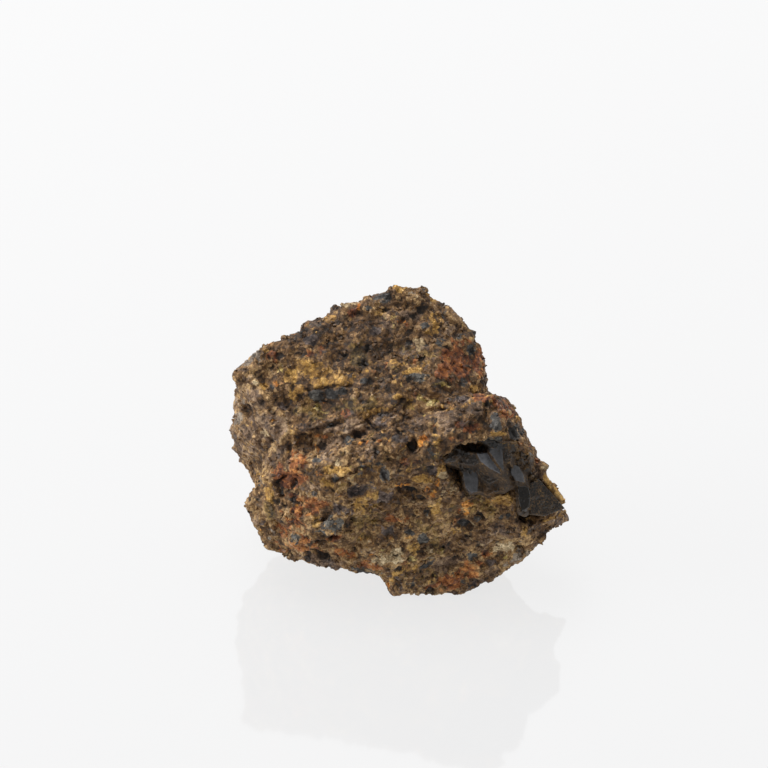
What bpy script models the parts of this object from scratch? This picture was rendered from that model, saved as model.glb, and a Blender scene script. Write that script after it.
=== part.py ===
"""Axinite geode specimen: a broken, iron-stained lump of rock with a hollow of dark axinite crystals.

Metres, +Z up. The stone rests on the plane Z = 0 and its hollow looks along -Y. The stone is one
piece. The crust of crystals in the hollow and the big crystal on the right corner are two more.
Everything is worked out in millimetres and turned to metres when the meshes are stored.
"""
import math

import bmesh
import bpy
from mathutils import Matrix, Vector, noise
from mathutils.bvhtree import BVHTree

MM = 0.001

# Driving dimensions, in millimetres: the gap between touching pieces, the thickness of the crust,
# and the sizes of the little faces in which the blocks and then the finer crystals are worked out
GAP = 0.3
CRUST = 1.2
BLOCK_VOXEL = 0.7
CRYSTAL_VOXEL = 0.33
FLOOR_SIZE = 100.0

# How many triangles the finished stone may have, and how much its edges are worn (0 to 1)
STONE_TRIANGLES = 8300
EDGE_WEAR = 0.4

# How far out an icosphere's points lie for its flat faces to be one unit from its middle
ICOSPHERE_REACH = 1.26

# The stone's skin in millimetres: how wide each kind of unevenness is, and how far it stands out.
# A grain's facet rises by FACET_SLOPE for each millimetre, up to FACET_LIMIT either way.
SWELL_SPAN, SWELL_HEIGHT = 11.0, 0.8
LUMP_SPAN, LUMP_HEIGHT = 5.0, 1.1
GRAIN_SPAN, GRAIN_HEIGHT = 2.4, 0.6
FACET_SLOPE, FACET_LIMIT = 0.9, 0.6

# Lumps and grains are Voronoi cells. A point lies this far from its cell's middle on average, as a
# share of the cell's span, and there the skin is neither raised nor sunk.
MEAN_REACH = 0.46
LUMP_SHIFT = Vector((3.1, 1.7, 9.2))

# The rock's layers rise to the right, as the step across its front does. Lumps are flatter
# across the layers than along them.
LAYER_NORMAL = Vector((-0.33, -0.25, 0.91)).normalized()
LAYER_SQUEEZE = 1.5

# The stone's blocks, each by its corners (right, back, up). The front is at -Y.
FRONT_BLOCK = [
    (-5.2, -6.4, 2.6), (5.6, -6.4, 0.4), (9.8, -6.4, 2.3), (13.4, -5.8, 3.9), (15.3, -5.2, 6.5),
    (17.0, -4.0, 9.4), (16.6, -4.6, 14.4), (14.8, -5.2, 18.8), (12.7, -7.2, 21.8), (10.1, -8.0, 24.8),
    (9.4, -6.0, 29.0), (8.8, -5.0, 30.3), (6.6, -3.6, 29.4), (1.8, -4.0, 28.0), (-3.3, -4.0, 26.8),
    (-10.3, -5.0, 24.2), (-17.3, -5.0, 20.8), (-21.0, -2.6, 15.2), (-22.4, -2.4, 9.2), (-19.8, -4.2, 6.2),
    (-15.6, -5.2, 4.6), (-10.0, -5.8, 3.4), (0.5, -8.8, 25.0), (-12.2, -8.2, 20.6), (-16.6, -7.4, 17.4),
    (-14.0, -8.2, 8.0), (10.0, 11.0, 6.0), (11.0, 9.0, 20.0), (-19.0, 11.0, 8.0), (-16.0, 8.0, 18.0),
]
FOOT_BLOCK = [
    (-4.2, -6.9, -0.8), (4.2, -6.8, -0.8), (-5.2, -6.6, 4.0), (9.4, -6.0, 4.0), (-9.0, 12.5, -0.8),
    (4.0, 11.5, -0.8), (-9.0, 2.0, -0.6), (8.0, 4.0, -0.6), (-14.0, 12.0, 8.0), (8.0, 11.0, 8.0),
]
BACK_BLOCK = [
    (-4.2, 9.5, 36.7), (0.6, 10.0, 35.9), (2.4, 10.3, 34.3), (3.8, 10.5, 32.3), (6.3, 9.0, 30.4),
    (7.6, 7.0, 27.0), (7.4, 3.0, 25.0), (-10.2, 8.6, 35.4), (-15.8, 7.4, 32.3), (-20.8, 5.2, 28.1),
    (-25.3, 3.4, 27.6), (-25.3, 6.0, 22.3), (-24.8, 8.6, 11.4), (-21.6, 5.0, 9.0), (-17.6, -3.6, 21.4),
    (-3.3, -2.4, 27.0), (1.8, -2.0, 27.6), (-1.0, 18.5, 30.5), (-14.0, 17.0, 27.0), (-22.0, 14.5, 21.5),
    (7.5, 16.0, 22.0), (-18.0, 18.0, 8.0), (5.0, 19.0, 7.0), (-8.0, 20.5, 15.0), (-12.0, 14.0, 2.0),
    (2.0, 14.0, 1.5),
]
LEFT_WEDGE = [
    (-23.9, -1.6, 10.6), (-22.0, -2.4, 15.8), (-23.4, -2.8, 7.6), (-21.0, -3.8, 4.8), (-16.6, -4.8, 3.4),
    (-14.0, -6.5, 6.0), (-14.0, -6.0, 16.0), (-17.0, 5.0, 9.0), (-17.0, 4.0, 14.0), (-15.0, 4.0, 5.0),
]
CORNER_RIM = [
    (18.6, -4.4, 13.2), (15.8, -5.0, 18.8), (12.6, -6.4, 19.6), (16.8, -4.6, 10.9), (12.0, -7.2, 10.4),
    (17.2, -2.4, 12.4), (14.8, -1.8, 18.6), (12.0, 1.0, 19.0), (12.0, 1.0, 11.0), (17.6, -2.4, 10.0),
]
RIGHT_FLANGE = [
    (18.9, -0.3, 7.6), (18.2, -2.0, 8.4), (18.0, -2.4, 10.4), (14.0, -3.8, 7.0), (13.0, -3.4, 12.0),
    (13.0, 3.6, 7.0), (13.0, 2.6, 12.4), (17.6, 0.0, 10.0),
]
BLOCKS = {
    "front block": FRONT_BLOCK,
    "foot block": FOOT_BLOCK,
    "back block": BACK_BLOCK,
    "left wedge": LEFT_WEDGE,
    "corner rim": CORNER_RIM,
    "right flange": RIGHT_FLANGE,
}

# Thin points that stand out of the rough skin
SPURS = {
    "left tip": [
        (-24.2, -1.5, 10.5), (-22.8, -2.0, 12.4), (-23.0, -2.4, 9.2), (-21.0, -3.0, 10.4),
        (-20.0, 0.5, 10.4),
    ],
    "right flange": [
        (19.5, -0.2, 7.4), (18.6, -1.6, 7.9), (18.3, -2.0, 9.6), (16.0, -2.6, 8.2), (16.0, 0.8, 8.4),
        (18.0, -0.4, 9.4),
    ],
}

# Dents and humps: the middle, the radius and the depth, where a negative depth stands out. Each
# fades to nothing at DENT_SPREAD times its radius.
DENT_SPREAD = 1.6
DENTS = {
    "rust hollow": ((-16.5, -7.0, 16.0), 3.0, 1.1),
    "dark pit": ((-2.2, -9.0, 16.8), 2.0, 1.3),
    "pit by the orange crystal": ((-1.4, -8.6, 23.4), 1.3, 1.0),
    "left wall pit": ((-24.6, 5.5, 21.0), 1.6, 1.0),
    "orange lump": ((-16.8, -6.0, 19.6), 1.8, -0.8),
    "pale lump": ((-4.5, -8.0, 6.4), 2.6, -0.7),
    "foot lump": ((-2.6, -7.0, 1.8), 2.2, -0.5),
    "underside notch": ((-8.5, -6.0, 1.4), 2.6, 1.2),
}

# Grooves and ridges: the points along each, its half width and its depth, negative for a ridge
GROOVES = {
    "step": (
        [(-18.4, -5.2, 20.8), (-10.3, -4.8, 24.3), (-3.3, -3.8, 26.9), (2.0, -3.6, 28.0)], 1.5, 1.3),
    "step right": ([(2.0, -3.4, 28.0), (7.4, -3.2, 29.4)], 1.2, 0.7),
    "lip over the step": ([(-16.6, -3.0, 22.4), (-9.6, -2.4, 25.8), (-3.0, -1.6, 28.2)], 1.3, -0.5),
    "left wall ridge": (
        [(-21.4, 0.4, 25.0), (-18.4, -4.4, 20.6), (-20.0, -4.6, 16.0), (-21.0, -4.0, 11.6)], 1.2, -0.8),
    "notch left": ([(-21.6, -1.6, 17.6), (-20.6, -1.0, 20.6), (-22.4, 1.0, 23.0)], 1.4, 0.9),
}

# The hollow: its rim on the front face, as points to the right and up
HOLLOW_RIM = [
    (1.9, 22.6), (3.4, 24.3), (5.2, 25.0), (8.0, 25.2), (11.0, 24.2), (12.6, 21.8), (13.2, 18.6),
    (12.6, 16.6), (9.5, 15.8), (5.6, 16.3), (3.0, 19.0),
]

# How far back its cutter starts, where its walls start to draw in, its floor, the share of its
# width that is left there, and how far forward the crust comes
HOLLOW_FRONT = -14.0
HOLLOW_MOUTH = -8.8
HOLLOW_FLOOR = -4.4
HOLLOW_DRAFT = 0.82
CRUST_FACE = -7.8

# Crystals of the crust: the middle, the half sizes (long, wide, thick) and the turns in degrees
CRUST_CRYSTALS = {
    "great facet": ((8.8, -6.9, 21.4), (3.1, 2.5, 1.5), (28, -38, 24)),
    "left facet": ((6.2, -7.0, 19.4), (2.7, 2.0, 1.4), (-12, 44, -18)),
    "right facet": ((11.0, -7.0, 19.8), (2.4, 1.8, 1.3), (34, 30, 8)),
    "top left": ((4.6, -6.4, 22.2), (2.3, 1.7, 1.3), (60, 12, 40)),
    "arch back": ((7.2, -5.8, 23.6), (2.4, 1.5, 1.2), (10, 70, 16)),
    "right top": ((10.8, -6.8, 22.6), (2.0, 1.7, 1.3), (-30, -20, 60)),
    "low middle": ((8.6, -6.6, 17.6), (2.6, 1.7, 1.2), (18, -70, -12)),
    "low left": ((5.4, -6.4, 17.6), (1.8, 1.4, 1.1), (44, -24, 70)),
    "low right": ((11.2, -6.6, 17.4), (1.8, 1.4, 1.1), (-24, 58, 20)),
}

# The big crystal on the right corner, by its corners
CORNER_CRYSTAL = [
    (17.9, -5.8, 13.2), (16.8, -6.0, 11.7), (14.7, -6.5, 18.1), (12.3, -7.9, 16.4), (11.9, -7.8, 12.2),
    (14.0, -7.2, 11.1), (13.0, -3.6, 16.8), (12.6, -3.4, 12.6), (16.0, -3.8, 12.8), (14.6, -8.2, 14.2),
]

# Small crystals and teeth grown into the stone: the seat, half sizes and turns in degrees
STONE_CRYSTALS = {
    "orange crystal": ((-0.6, -8.8, 23.2), (1.5, 0.9, 0.7), (20, 70, 30)),
    "slate crystal a": ((-13.6, 1.6, 27.0), (1.7, 1.2, 0.8), (30, 20, 10)),
    "slate crystal b": ((-11.0, 1.4, 27.6), (1.6, 1.0, 0.8), (50, -10, 40)),
    "slate crystal c": ((-15.6, 1.2, 26.0), (1.3, 1.0, 0.7), (10, 40, 80)),
    "slate cluster": ((-12.0, -8.4, 12.2), (1.9, 1.3, 0.9), (70, 20, 10)),
    "grey plate": ((-17.0, -6.4, 8.4), (1.9, 1.1, 0.6), (60, -20, 30)),
    "left wall crystal": ((-22.6, 0.6, 19.0), (1.4, 1.0, 0.8), (10, 70, 30)),
    "foot crystal a": ((-3.2, -7.4, 1.6), (1.4, 1.0, 0.8), (10, 20, 60)),
    "foot crystal b": ((-0.6, -7.2, 1.4), (1.2, 0.9, 0.7), (60, 20, 10)),
    "foot tooth": ((2.2, -7.0, 0.9), (0.8, 0.5, 0.4), (0, 60, 0)),
    "shoulder crystal a": ((9.4, -5.2, 30.2), (1.5, 1.1, 0.8), (20, 20, 20)),
    "shoulder crystal b": ((11.0, -6.4, 28.6), (1.3, 1.0, 0.8), (70, 10, 50)),
    "slate facet": ((9.0, -7.4, 27.2), (1.8, 1.5, 0.9), (70, 10, 80)),
    "ridge tooth": ((-11.0, 8.4, 35.6), (0.9, 0.6, 0.5), (0, 50, 10)),
    "top bump": ((-4.2, 9.6, 36.4), (1.7, 1.2, 0.8), (10, 10, 30)),
    "top bump right": ((-0.2, 9.8, 36.4), (1.5, 1.1, 0.8), (40, 10, 70)),
    "right tooth high": ((6.4, 9.0, 30.6), (1.0, 0.7, 0.5), (0, 70, 20)),
    "right tooth middle": ((7.8, 7.0, 27.2), (0.9, 0.6, 0.5), (20, 50, 20)),
    "right tooth low": ((7.8, 4.0, 25.8), (1.0, 0.7, 0.5), (60, 50, 20)),
    "edge crystal": ((12.6, -8.0, 25.4), (1.4, 1.1, 0.9), (10, 40, 40)),
    "rim crystal": ((15.6, -5.2, 19.0), (1.2, 0.9, 0.7), (30, 60, 40)),
}

# More crystals, sown over the sides and the back at even steps round the stone's middle, from the
# top (1) towards the bottom (-1). Each is between the smallest and the largest share of its size.
SOWN_CRYSTALS = 30
SOWN_TOP, SOWN_BOTTOM = 0.92, -0.58
SOWN_MIDDLE = Vector((-4.0, 6.0, 16.0))
SOWN_HALVES = (1.5, 1.05, 0.75)
SOWN_SMALLEST, SOWN_LARGEST = 0.75, 1.25
GOLDEN_TURN = math.pi * (3.0 - math.sqrt(5.0))

# Multipliers that turn a place into a seed for its own random values
FACET_SEED = 57.0
SIZE_SEED = 3.0
TURN_SEED = 7.0

# Every surface's colour (red, green, blue, linear) and roughness
FINISHES = {
    "iron_stained_rock": ((0.105, 0.064, 0.034), 0.85),
    "dark_axinite": ((0.022, 0.021, 0.022), 0.25),
    "corner_axinite": ((0.014, 0.012, 0.012), 0.28),
}


def clear_scene():
    for thing in list(bpy.data.objects):
        bpy.data.objects.remove(thing, do_unlink=True)


def finish(name):
    """A Principled material in one of the specimen's colours."""
    colour, roughness = FINISHES[name]
    made = bpy.data.materials.new(name)
    made.use_nodes = True
    shader = made.node_tree.nodes["Principled BSDF"]
    shader.inputs["Base Color"].default_value = (*colour, 1.0)
    shader.inputs["Roughness"].default_value = roughness
    return made


def collection(name):
    made = bpy.data.collections.new(name)
    bpy.context.scene.collection.children.link(made)
    return made


def hull(points):
    """The tightest closed solid with flat faces round some points, as a bmesh."""
    shape = bmesh.new()
    for point in points:
        shape.verts.new(point)
    made = bmesh.ops.convex_hull(shape, input=shape.verts)
    loose = [v for v in made["geom_interior"] + made["geom_unused"] if isinstance(v, bmesh.types.BMVert)]
    bmesh.ops.delete(shape, geom=list(set(loose)), context="VERTS")
    bmesh.ops.triangulate(shape, faces=shape.faces)
    bmesh.ops.recalc_face_normals(shape, faces=shape.faces)
    return shape


def stored(name, shape, group):
    """A bmesh made an object in millimetres, in the given collection."""
    mesh = bpy.data.meshes.new(name)
    shape.to_mesh(mesh)
    shape.free()
    made = bpy.data.objects.new(name, mesh)
    group.objects.link(made)
    return made


def applied(thing):
    """Takes the object's modifiers into its mesh."""
    graph = bpy.context.evaluated_depsgraph_get()
    mesh = bpy.data.meshes.new_from_object(thing.evaluated_get(graph))
    thing.modifiers.clear()
    thing.data = mesh
    return thing


def combine(thing, other, operation):
    """An exact Boolean of two objects, after which the other is gone."""
    cut = thing.modifiers.new("combine", "BOOLEAN")
    cut.solver = "EXACT"
    cut.operation = operation
    cut.object = other
    applied(thing)
    bpy.data.objects.remove(other, do_unlink=True)
    return thing


def wedge_crystal(middle, halves, turns):
    """An axe-head crystal: a four-sided plate, sharp all round, with a smaller skewed face on each side."""
    long, wide, thick = halves
    turn = Matrix.Rotation(math.radians(turns[2]), 3, "Z")
    turn @= Matrix.Rotation(math.radians(turns[1]), 3, "Y")
    turn @= Matrix.Rotation(math.radians(turns[0]), 3, "X")
    edge = [(1.0, 0.15, 0.0), (0.1, 1.0, 0.0), (-1.0, -0.15, 0.0), (-0.1, -1.0, 0.0)]
    face = [(0.62, 0.28, 1.0), (-0.12, 0.66, 1.0), (-0.6, -0.12, 1.0), (0.1, -0.52, 1.0)]
    back = [(-x, -y, -z) for x, y, z in face]
    corners = [Vector((x * long, y * wide, z * thick)) for x, y, z in edge + face + back]
    return hull([Vector(middle) + turn @ corner for corner in corners])


def layered(point):
    """A point with the direction across the rock's layers squeezed, so that noise read there is flat."""
    across = point.dot(LAYER_NORMAL)
    return point + LAYER_NORMAL * across * (LAYER_SQUEEZE - 1.0)


def bowl(distance, radius):
    """1 in the middle of a dent, falling smoothly to 0 where it fades out."""
    near = max(0.0, 1.0 - distance / (DENT_SPREAD * radius))
    return near * near * (3.0 - 2.0 * near)


def dent(point):
    """How deep the named dents, humps, grooves and ridges are at a point."""
    depth = 0.0
    for middle, radius, deep in DENTS.values():
        depth += deep * bowl((point - Vector(middle)).length, radius)
    for line, half_width, deep in GROOVES.values():
        away = min(run_distance(point, Vector(a), Vector(b)) for a, b in zip(line, line[1:]))
        depth += deep * bowl(away, half_width)
    return depth


def run_distance(point, start, end):
    """How far a point is from the straight run between two others."""
    along = end - start
    share = max(0.0, min(1.0, (point - start).dot(along) / along.length_squared))
    return (point - start - along * share).length


def skin_height(point):
    """How far the rough skin stands out of the smooth block at a point.

    A slow swell, lumps with creases between them, and grains that are each a flat facet tilted
    its own way.
    """
    place = layered(point)
    swell = SWELL_HEIGHT * noise.noise(place / SWELL_SPAN)
    lump_reach, _ = noise.voronoi(place / LUMP_SPAN + LUMP_SHIFT)
    lump = LUMP_HEIGHT * (MEAN_REACH - lump_reach[0])
    grain_reach, grain_middles = noise.voronoi(place / GRAIN_SPAN)
    grain = GRAIN_HEIGHT * (MEAN_REACH - grain_reach[0])
    tilt = noise.cell_vector(grain_middles[0] * FACET_SEED) - Vector((0.5, 0.5, 0.5))
    rise = tilt.dot(place - grain_middles[0] * GRAIN_SPAN) * FACET_SLOPE
    facet = max(-FACET_LIMIT, min(FACET_LIMIT, rise))
    return swell + lump + grain + facet - dent(point)


def outward(mesh):
    """Each point's normal, added up from its faces in a fixed order so that every run gives the same."""
    normals = [Vector() for _ in mesh.vertices]
    for face in mesh.polygons:
        for corner in face.vertices:
            normals[corner] += face.normal * face.area
    return [normal.normalized() for normal in normals]


def roughen(stone):
    """Moves each point of the stone's skin along its normal."""
    mesh = stone.data
    for vertex, normal in zip(mesh.vertices, outward(mesh)):
        vertex.co += normal * skin_height(vertex.co)
    mesh.update()


def joined(shapes):
    """Several bmeshes as one, with their overlaps left in."""
    whole = bmesh.new()
    mesh = bpy.data.meshes.new("joined")
    for shape in shapes:
        shape.to_mesh(mesh)
        shape.free()
        whole.from_mesh(mesh)
    bpy.data.meshes.remove(mesh)
    return whole


def one_skin(thing, voxel):
    """Overlapping closed shapes made one skin of even little faces."""
    remesh = thing.modifiers.new("even faces", "REMESH")
    remesh.mode = "VOXEL"
    remesh.voxel_size = voxel
    return applied(thing)


def join_blocks(group):
    """The blocks made one skin, with their edges a little worn."""
    blocks = joined([hull(corners) for corners in BLOCKS.values()])
    stone = one_skin(stored("matrix", blocks, group), BLOCK_VOXEL)
    soften = stone.modifiers.new("worn edges", "SMOOTH")
    soften.factor = EDGE_WEAR
    soften.iterations = 1
    return applied(stone)


def thin_out(stone):
    """Fewer, larger faces where the skin is flat."""
    quads = stone.data
    quads.calc_loop_triangles()
    fewer = stone.modifiers.new("fewer faces", "DECIMATE")
    fewer.ratio = STONE_TRIANGLES / len(quads.loop_triangles)
    fewer.use_collapse_triangulate = True
    return applied(stone)


def cut_foot(stone, cutters):
    """Cuts the stone flat at Z = 0, so that it stands on a small flat spot."""
    below = bmesh.new()
    bmesh.ops.create_cube(below, size=FLOOR_SIZE)
    bmesh.ops.translate(below, verts=below.verts, vec=(0, 0, -FLOOR_SIZE / 2))
    combine(stone, stored("below the floor", below, cutters), "DIFFERENCE")


def drop_chips(thing):
    """Removes the chips that a cut left loose beside the biggest body."""
    shape = bmesh.new()
    shape.from_mesh(thing.data)
    bodies = []
    left = set(shape.verts)
    while left:
        body = {left.pop()}
        edge = set(body)
        while edge:
            edge = {link.other_vert(vertex) for vertex in edge for link in vertex.link_edges} - body
            body |= edge
        left -= body
        bodies.append(body)
    bodies.sort(key=len)
    for chip in bodies[:-1]:
        bmesh.ops.delete(shape, geom=list(chip), context="VERTS")
    shape.to_mesh(thing.data)
    shape.free()


def hollow(shrink, front=HOLLOW_FRONT):
    """The hollow's space: straight from in front of the stone to its mouth, then drawn in to its floor.

    It can be made smaller all round and at its floor, and cut short in front.
    """
    across = sum(x for x, _ in HOLLOW_RIM) / len(HOLLOW_RIM)
    up = sum(z for _, z in HOLLOW_RIM) / len(HOLLOW_RIM)
    floor = HOLLOW_FLOOR - shrink
    drawn_in = (1.0 - HOLLOW_DRAFT) / (HOLLOW_FLOOR - HOLLOW_MOUTH)
    corners = []
    for back in (front, max(front, HOLLOW_MOUTH), floor):
        taper = 1.0 - drawn_in * max(0.0, back - HOLLOW_MOUTH)
        for x, z in HOLLOW_RIM:
            reach = math.hypot(x - across, z - up)
            scale = taper - shrink / reach
            corners.append((across + (x - across) * scale, back, up + (z - up) * scale))
    return hull(corners)


def grown(points, distance):
    """The hull of some points, bigger all round by a little more than the distance."""
    ball = bmesh.new()
    bmesh.ops.create_icosphere(ball, subdivisions=1, radius=distance * ICOSPHERE_REACH)
    around = [vertex.co.copy() for vertex in ball.verts]
    ball.free()
    return hull([Vector(point) + step for point in points for step in around])


def crystal_crust(group, cutters):
    """The hollow's lining: a thin bowl and the crystals that stand in it, cut to the hollow's space."""
    crust = stored("vug_crystals", hollow(GAP, CRUST_FACE), group)
    combine(crust, stored("bowl", hollow(GAP + CRUST), cutters), "DIFFERENCE")
    for name, (middle, halves, turns) in CRUST_CRYSTALS.items():
        crystal = stored(name, wedge_crystal(middle, halves, turns), cutters)
        combine(crystal, stored("space", hollow(GAP), cutters), "INTERSECT")
        combine(crust, crystal, "UNION")
    socket = grown(CORNER_CRYSTAL, GAP)
    return combine(crust, stored("corner socket", socket, cutters), "DIFFERENCE")


def grown_crystals(skin):
    """The small crystals, each seated on the nearest point of the stone's skin, as bmeshes."""
    crystals = []
    for seat, halves, turns in STONE_CRYSTALS.values():
        place, _, _, _ = skin.find_nearest(Vector(seat))
        crystals.append(wedge_crystal(place, halves, turns))
    for number in range(SOWN_CRYSTALS):
        up = SOWN_TOP + (SOWN_BOTTOM - SOWN_TOP) * (number + 0.5) / SOWN_CRYSTALS
        turn = number * GOLDEN_TURN
        level = math.sqrt(1.0 - up * up)
        direction = Vector((level * math.cos(turn), level * math.sin(turn), up))
        if direction.y > 0.0:
            place, _, _, _ = skin.ray_cast(SOWN_MIDDLE, direction)
            size = SOWN_SMALLEST + (SOWN_LARGEST - SOWN_SMALLEST) * noise.cell(place * SIZE_SEED)
            turns = noise.cell_vector(place * TURN_SEED) * 180.0
            crystals.append(wedge_crystal(place, [half * size for half in SOWN_HALVES], turns))
    return crystals


def grow_crystals(stone):
    """Joins the small crystals and the spurs to the stone, all in one skin."""
    shape = bmesh.new()
    shape.from_mesh(stone.data)
    added = grown_crystals(BVHTree.FromBMesh(shape)) + [hull(corners) for corners in SPURS.values()]
    whole = joined([shape] + added)
    whole.to_mesh(stone.data)
    whole.free()
    return one_skin(stone, CRYSTAL_VOXEL)


def stand_on_origin(parts):
    """Turns millimetres to metres, with the origin under the middle of the specimen's box."""
    corners = [vertex.co for thing in parts.objects for vertex in thing.data.vertices]
    middle = [(min(axis) + max(axis)) / 2 for axis in zip(*corners)]
    place = Matrix.Scale(MM, 4) @ Matrix.Translation((-middle[0], -middle[1], 0.0))
    for thing in parts.objects:
        thing.data.transform(place)


def main():
    clear_scene()
    parts = collection("axinite_geode_specimen")
    cutters = collection("cutters")
    stone = join_blocks(parts)
    roughen(stone)
    grow_crystals(stone)
    thin_out(stone)
    combine(stone, stored("hollow", hollow(0.0), cutters), "DIFFERENCE")
    combine(stone, stored("corner socket", grown(CORNER_CRYSTAL, GAP), cutters), "DIFFERENCE")
    cut_foot(stone, cutters)
    drop_chips(stone)
    crust = crystal_crust(parts, cutters)
    corner = stored("corner_crystal", hull(CORNER_CRYSTAL), parts)
    stone.data.materials.append(finish("iron_stained_rock"))
    crust.data.materials.append(finish("dark_axinite"))
    corner.data.materials.append(finish("corner_axinite"))
    stand_on_origin(parts)


main()
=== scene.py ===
"""Looks of the axinite specimen: granular iron-stained rock, dark glassy crystals, a white studio floor.

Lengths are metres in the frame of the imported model: +X right, -Y towards the viewer, +Z up.
Sizes of grain and relief are written in millimetres and multiplied by MM.
"""
import itertools
import math

import bmesh
import bpy
import numpy as np
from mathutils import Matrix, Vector


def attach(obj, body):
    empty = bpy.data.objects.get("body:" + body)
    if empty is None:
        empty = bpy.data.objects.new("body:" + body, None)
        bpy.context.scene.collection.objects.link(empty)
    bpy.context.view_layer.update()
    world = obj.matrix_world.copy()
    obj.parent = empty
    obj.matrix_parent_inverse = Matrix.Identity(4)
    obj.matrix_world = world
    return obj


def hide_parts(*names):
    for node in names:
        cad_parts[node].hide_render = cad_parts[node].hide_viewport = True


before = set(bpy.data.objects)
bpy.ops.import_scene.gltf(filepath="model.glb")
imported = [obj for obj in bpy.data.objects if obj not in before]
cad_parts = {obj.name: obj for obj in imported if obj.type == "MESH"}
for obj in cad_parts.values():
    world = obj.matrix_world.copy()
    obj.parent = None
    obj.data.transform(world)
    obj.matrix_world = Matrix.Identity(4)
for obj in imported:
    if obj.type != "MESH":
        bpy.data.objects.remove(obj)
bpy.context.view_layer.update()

MM = 0.001

# The camera: half a metre away and 32 degrees above the horizon, on a long lens

EYE = np.array((-2.05, -439.19, 299.15)) * MM
CAMERA_DOWN = math.radians(32.0)
LENS = 187.5
SENSOR = 36.0
PICTURE = 768.0

# To the right and up across the picture, towards the camera, and the picture's pixels in a metre
# that is a metre away
RIGHT = np.array((1.0, 0.0, 0.0))
UP = np.array((0.0, math.sin(CAMERA_DOWN), math.cos(CAMERA_DOWN)))
TOWARDS = np.array((0.0, -math.cos(CAMERA_DOWN), math.sin(CAMERA_DOWN)))
PIXELS = PICTURE * LENS / SENSOR


def seen(points):
    """Where points appear in the picture, in pixels to the right and down."""
    away = points - EYE
    scale = -PIXELS / (away @ TOWARDS)
    return PICTURE / 2 + away @ RIGHT * scale, PICTURE / 2 - away @ UP * scale


def placed(right, down, near):
    """The points seen at places in the picture, so many metres nearer to the camera than the origin is.

    From the eye, a point lies its depth away, times its pixels from the middle to the right and
    down, over the pixels in a metre at one metre.
    """
    depth = EYE @ TOWARDS - near
    across = depth * ((right - PICTURE / 2) / PIXELS)
    below = depth * ((down - PICTURE / 2) / PIXELS)
    outer = np.multiply.outer
    return EYE + outer(across, RIGHT) - outer(below, UP) - outer(depth, TOWARDS)


def nearness(down, forward):
    """How near to the camera the sight line through a height in the picture has the given Y."""
    below = (down - PICTURE / 2) / PIXELS
    return EYE @ TOWARDS - (forward - EYE[1]) / (-below * UP[1] - TOWARDS[1])


# Random values and noise, worked out for whole arrays of points


# Large odd numbers that spread the three indices of a cell and its salt over all 32 bits, and the
# shifts and factors that then mix the bits
SPREAD = (73856093, 19349663, 83492791)
SALT_SPREAD = 2654435761
MIXING = ((16, 2246822519), (13, 3266489917), (16, 668265263))
LAST_SHIFT = 15


def scrambled(cells, salt):
    """A repeatable random number from 0 to 1 for each whole-number cell.

    The three indices are multiplied by large odd numbers, joined by exclusive or with the salt,
    and scrambled by shifts and multiplications.
    """
    index = cells.astype(np.int64).astype(np.uint32)
    value = np.uint32(salt * SALT_SPREAD % 2**32)
    for axis, factor in enumerate(SPREAD):
        value = value ^ index[..., axis] * np.uint32(factor)
    for shift, factor in MIXING:
        value = (value ^ value >> np.uint32(shift)) * np.uint32(factor)
    return (value ^ value >> np.uint32(LAST_SHIFT)) / 2.0**32


def soft_noise(points, salt):
    """Noise from -1 to 1: random values at the eight corners round a point, blended by smoothstep."""
    base = np.floor(points)
    part = points - base
    part = part * part * (3.0 - 2.0 * part)
    total = np.zeros(len(points))
    for corner in itertools.product((0.0, 1.0), repeat=3):
        weight = np.where(np.array(corner) > 0.5, part, 1.0 - part).prod(axis=1)
        total += weight * (2.0 * scrambled(base + corner, salt) - 1.0)
    return total


# How much weaker each finer layer of rough noise is, and how far the layers are shifted apart
LAYER_FADE, LAYER_SHIFT = 0.55, 17.3


def rough_noise(points, salt, layers):
    """Soft noise summed over layers, each twice as fine as the one before and weaker by the fade."""
    total = np.zeros(len(points))
    strength = 1.0
    for layer in range(layers):
        total += strength * soft_noise(points * 2.0**layer + LAYER_SHIFT * layer, salt + layer)
        strength *= LAYER_FADE
    return total


def grains(points, salt):
    """Each point's grain: all that is nearer to one random seed than to any other, one in every unit cube.

    Gives how much farther the second nearest seed is than the nearest, the way from the nearest
    seed to the point, and that seed's cube.
    """
    base = np.floor(points)
    nearest = np.full(len(points), np.inf)
    second = np.full(len(points), np.inf)
    away = np.zeros_like(points)
    cube = np.zeros_like(points)
    for step in itertools.product((-1.0, 0.0, 1.0), repeat=3):
        here = base + step
        seed = np.stack([scrambled(here, salt + axis) for axis in range(3)], axis=1)
        offset = points - here - seed
        distance = np.sqrt((offset**2).sum(axis=1))
        closer = distance < nearest
        second = np.where(closer, nearest, np.minimum(second, distance))
        nearest = np.where(closer, distance, nearest)
        away[closer] = offset[closer]
        cube[closer] = here[closer]
    return second - nearest, away, cube


# What is added to a kind of grain's salt for its grains' facets, their steps and whether they are lost
FACET_SALT, STEP_SALT, LOST_SALT = 3, 6, 7


def own_steps(cube, salt):
    """Each grain's own random step, from -0.5 to 0.5."""
    return scrambled(cube, salt + STEP_SALT) - 0.5


def own_facets(away, cube, salt):
    """How high a facet that leans its own random way in each grain stands at points of the grain."""
    tilt = np.stack([scrambled(cube, salt + FACET_SALT + axis) for axis in range(3)], axis=1) - 0.5
    return (away * tilt).sum(axis=1)


def smoothstep(low, high, value):
    """0 up to low, 1 from high on, and 3 times the square less 2 times the cube of the share between."""
    share = np.clip((value - low) / (high - low), 0.0, 1.0)
    return share * share * (3.0 - 2.0 * share)


# Meshes as arrays of points and triangles

SAME_POINT = 0.001 * MM


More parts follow.
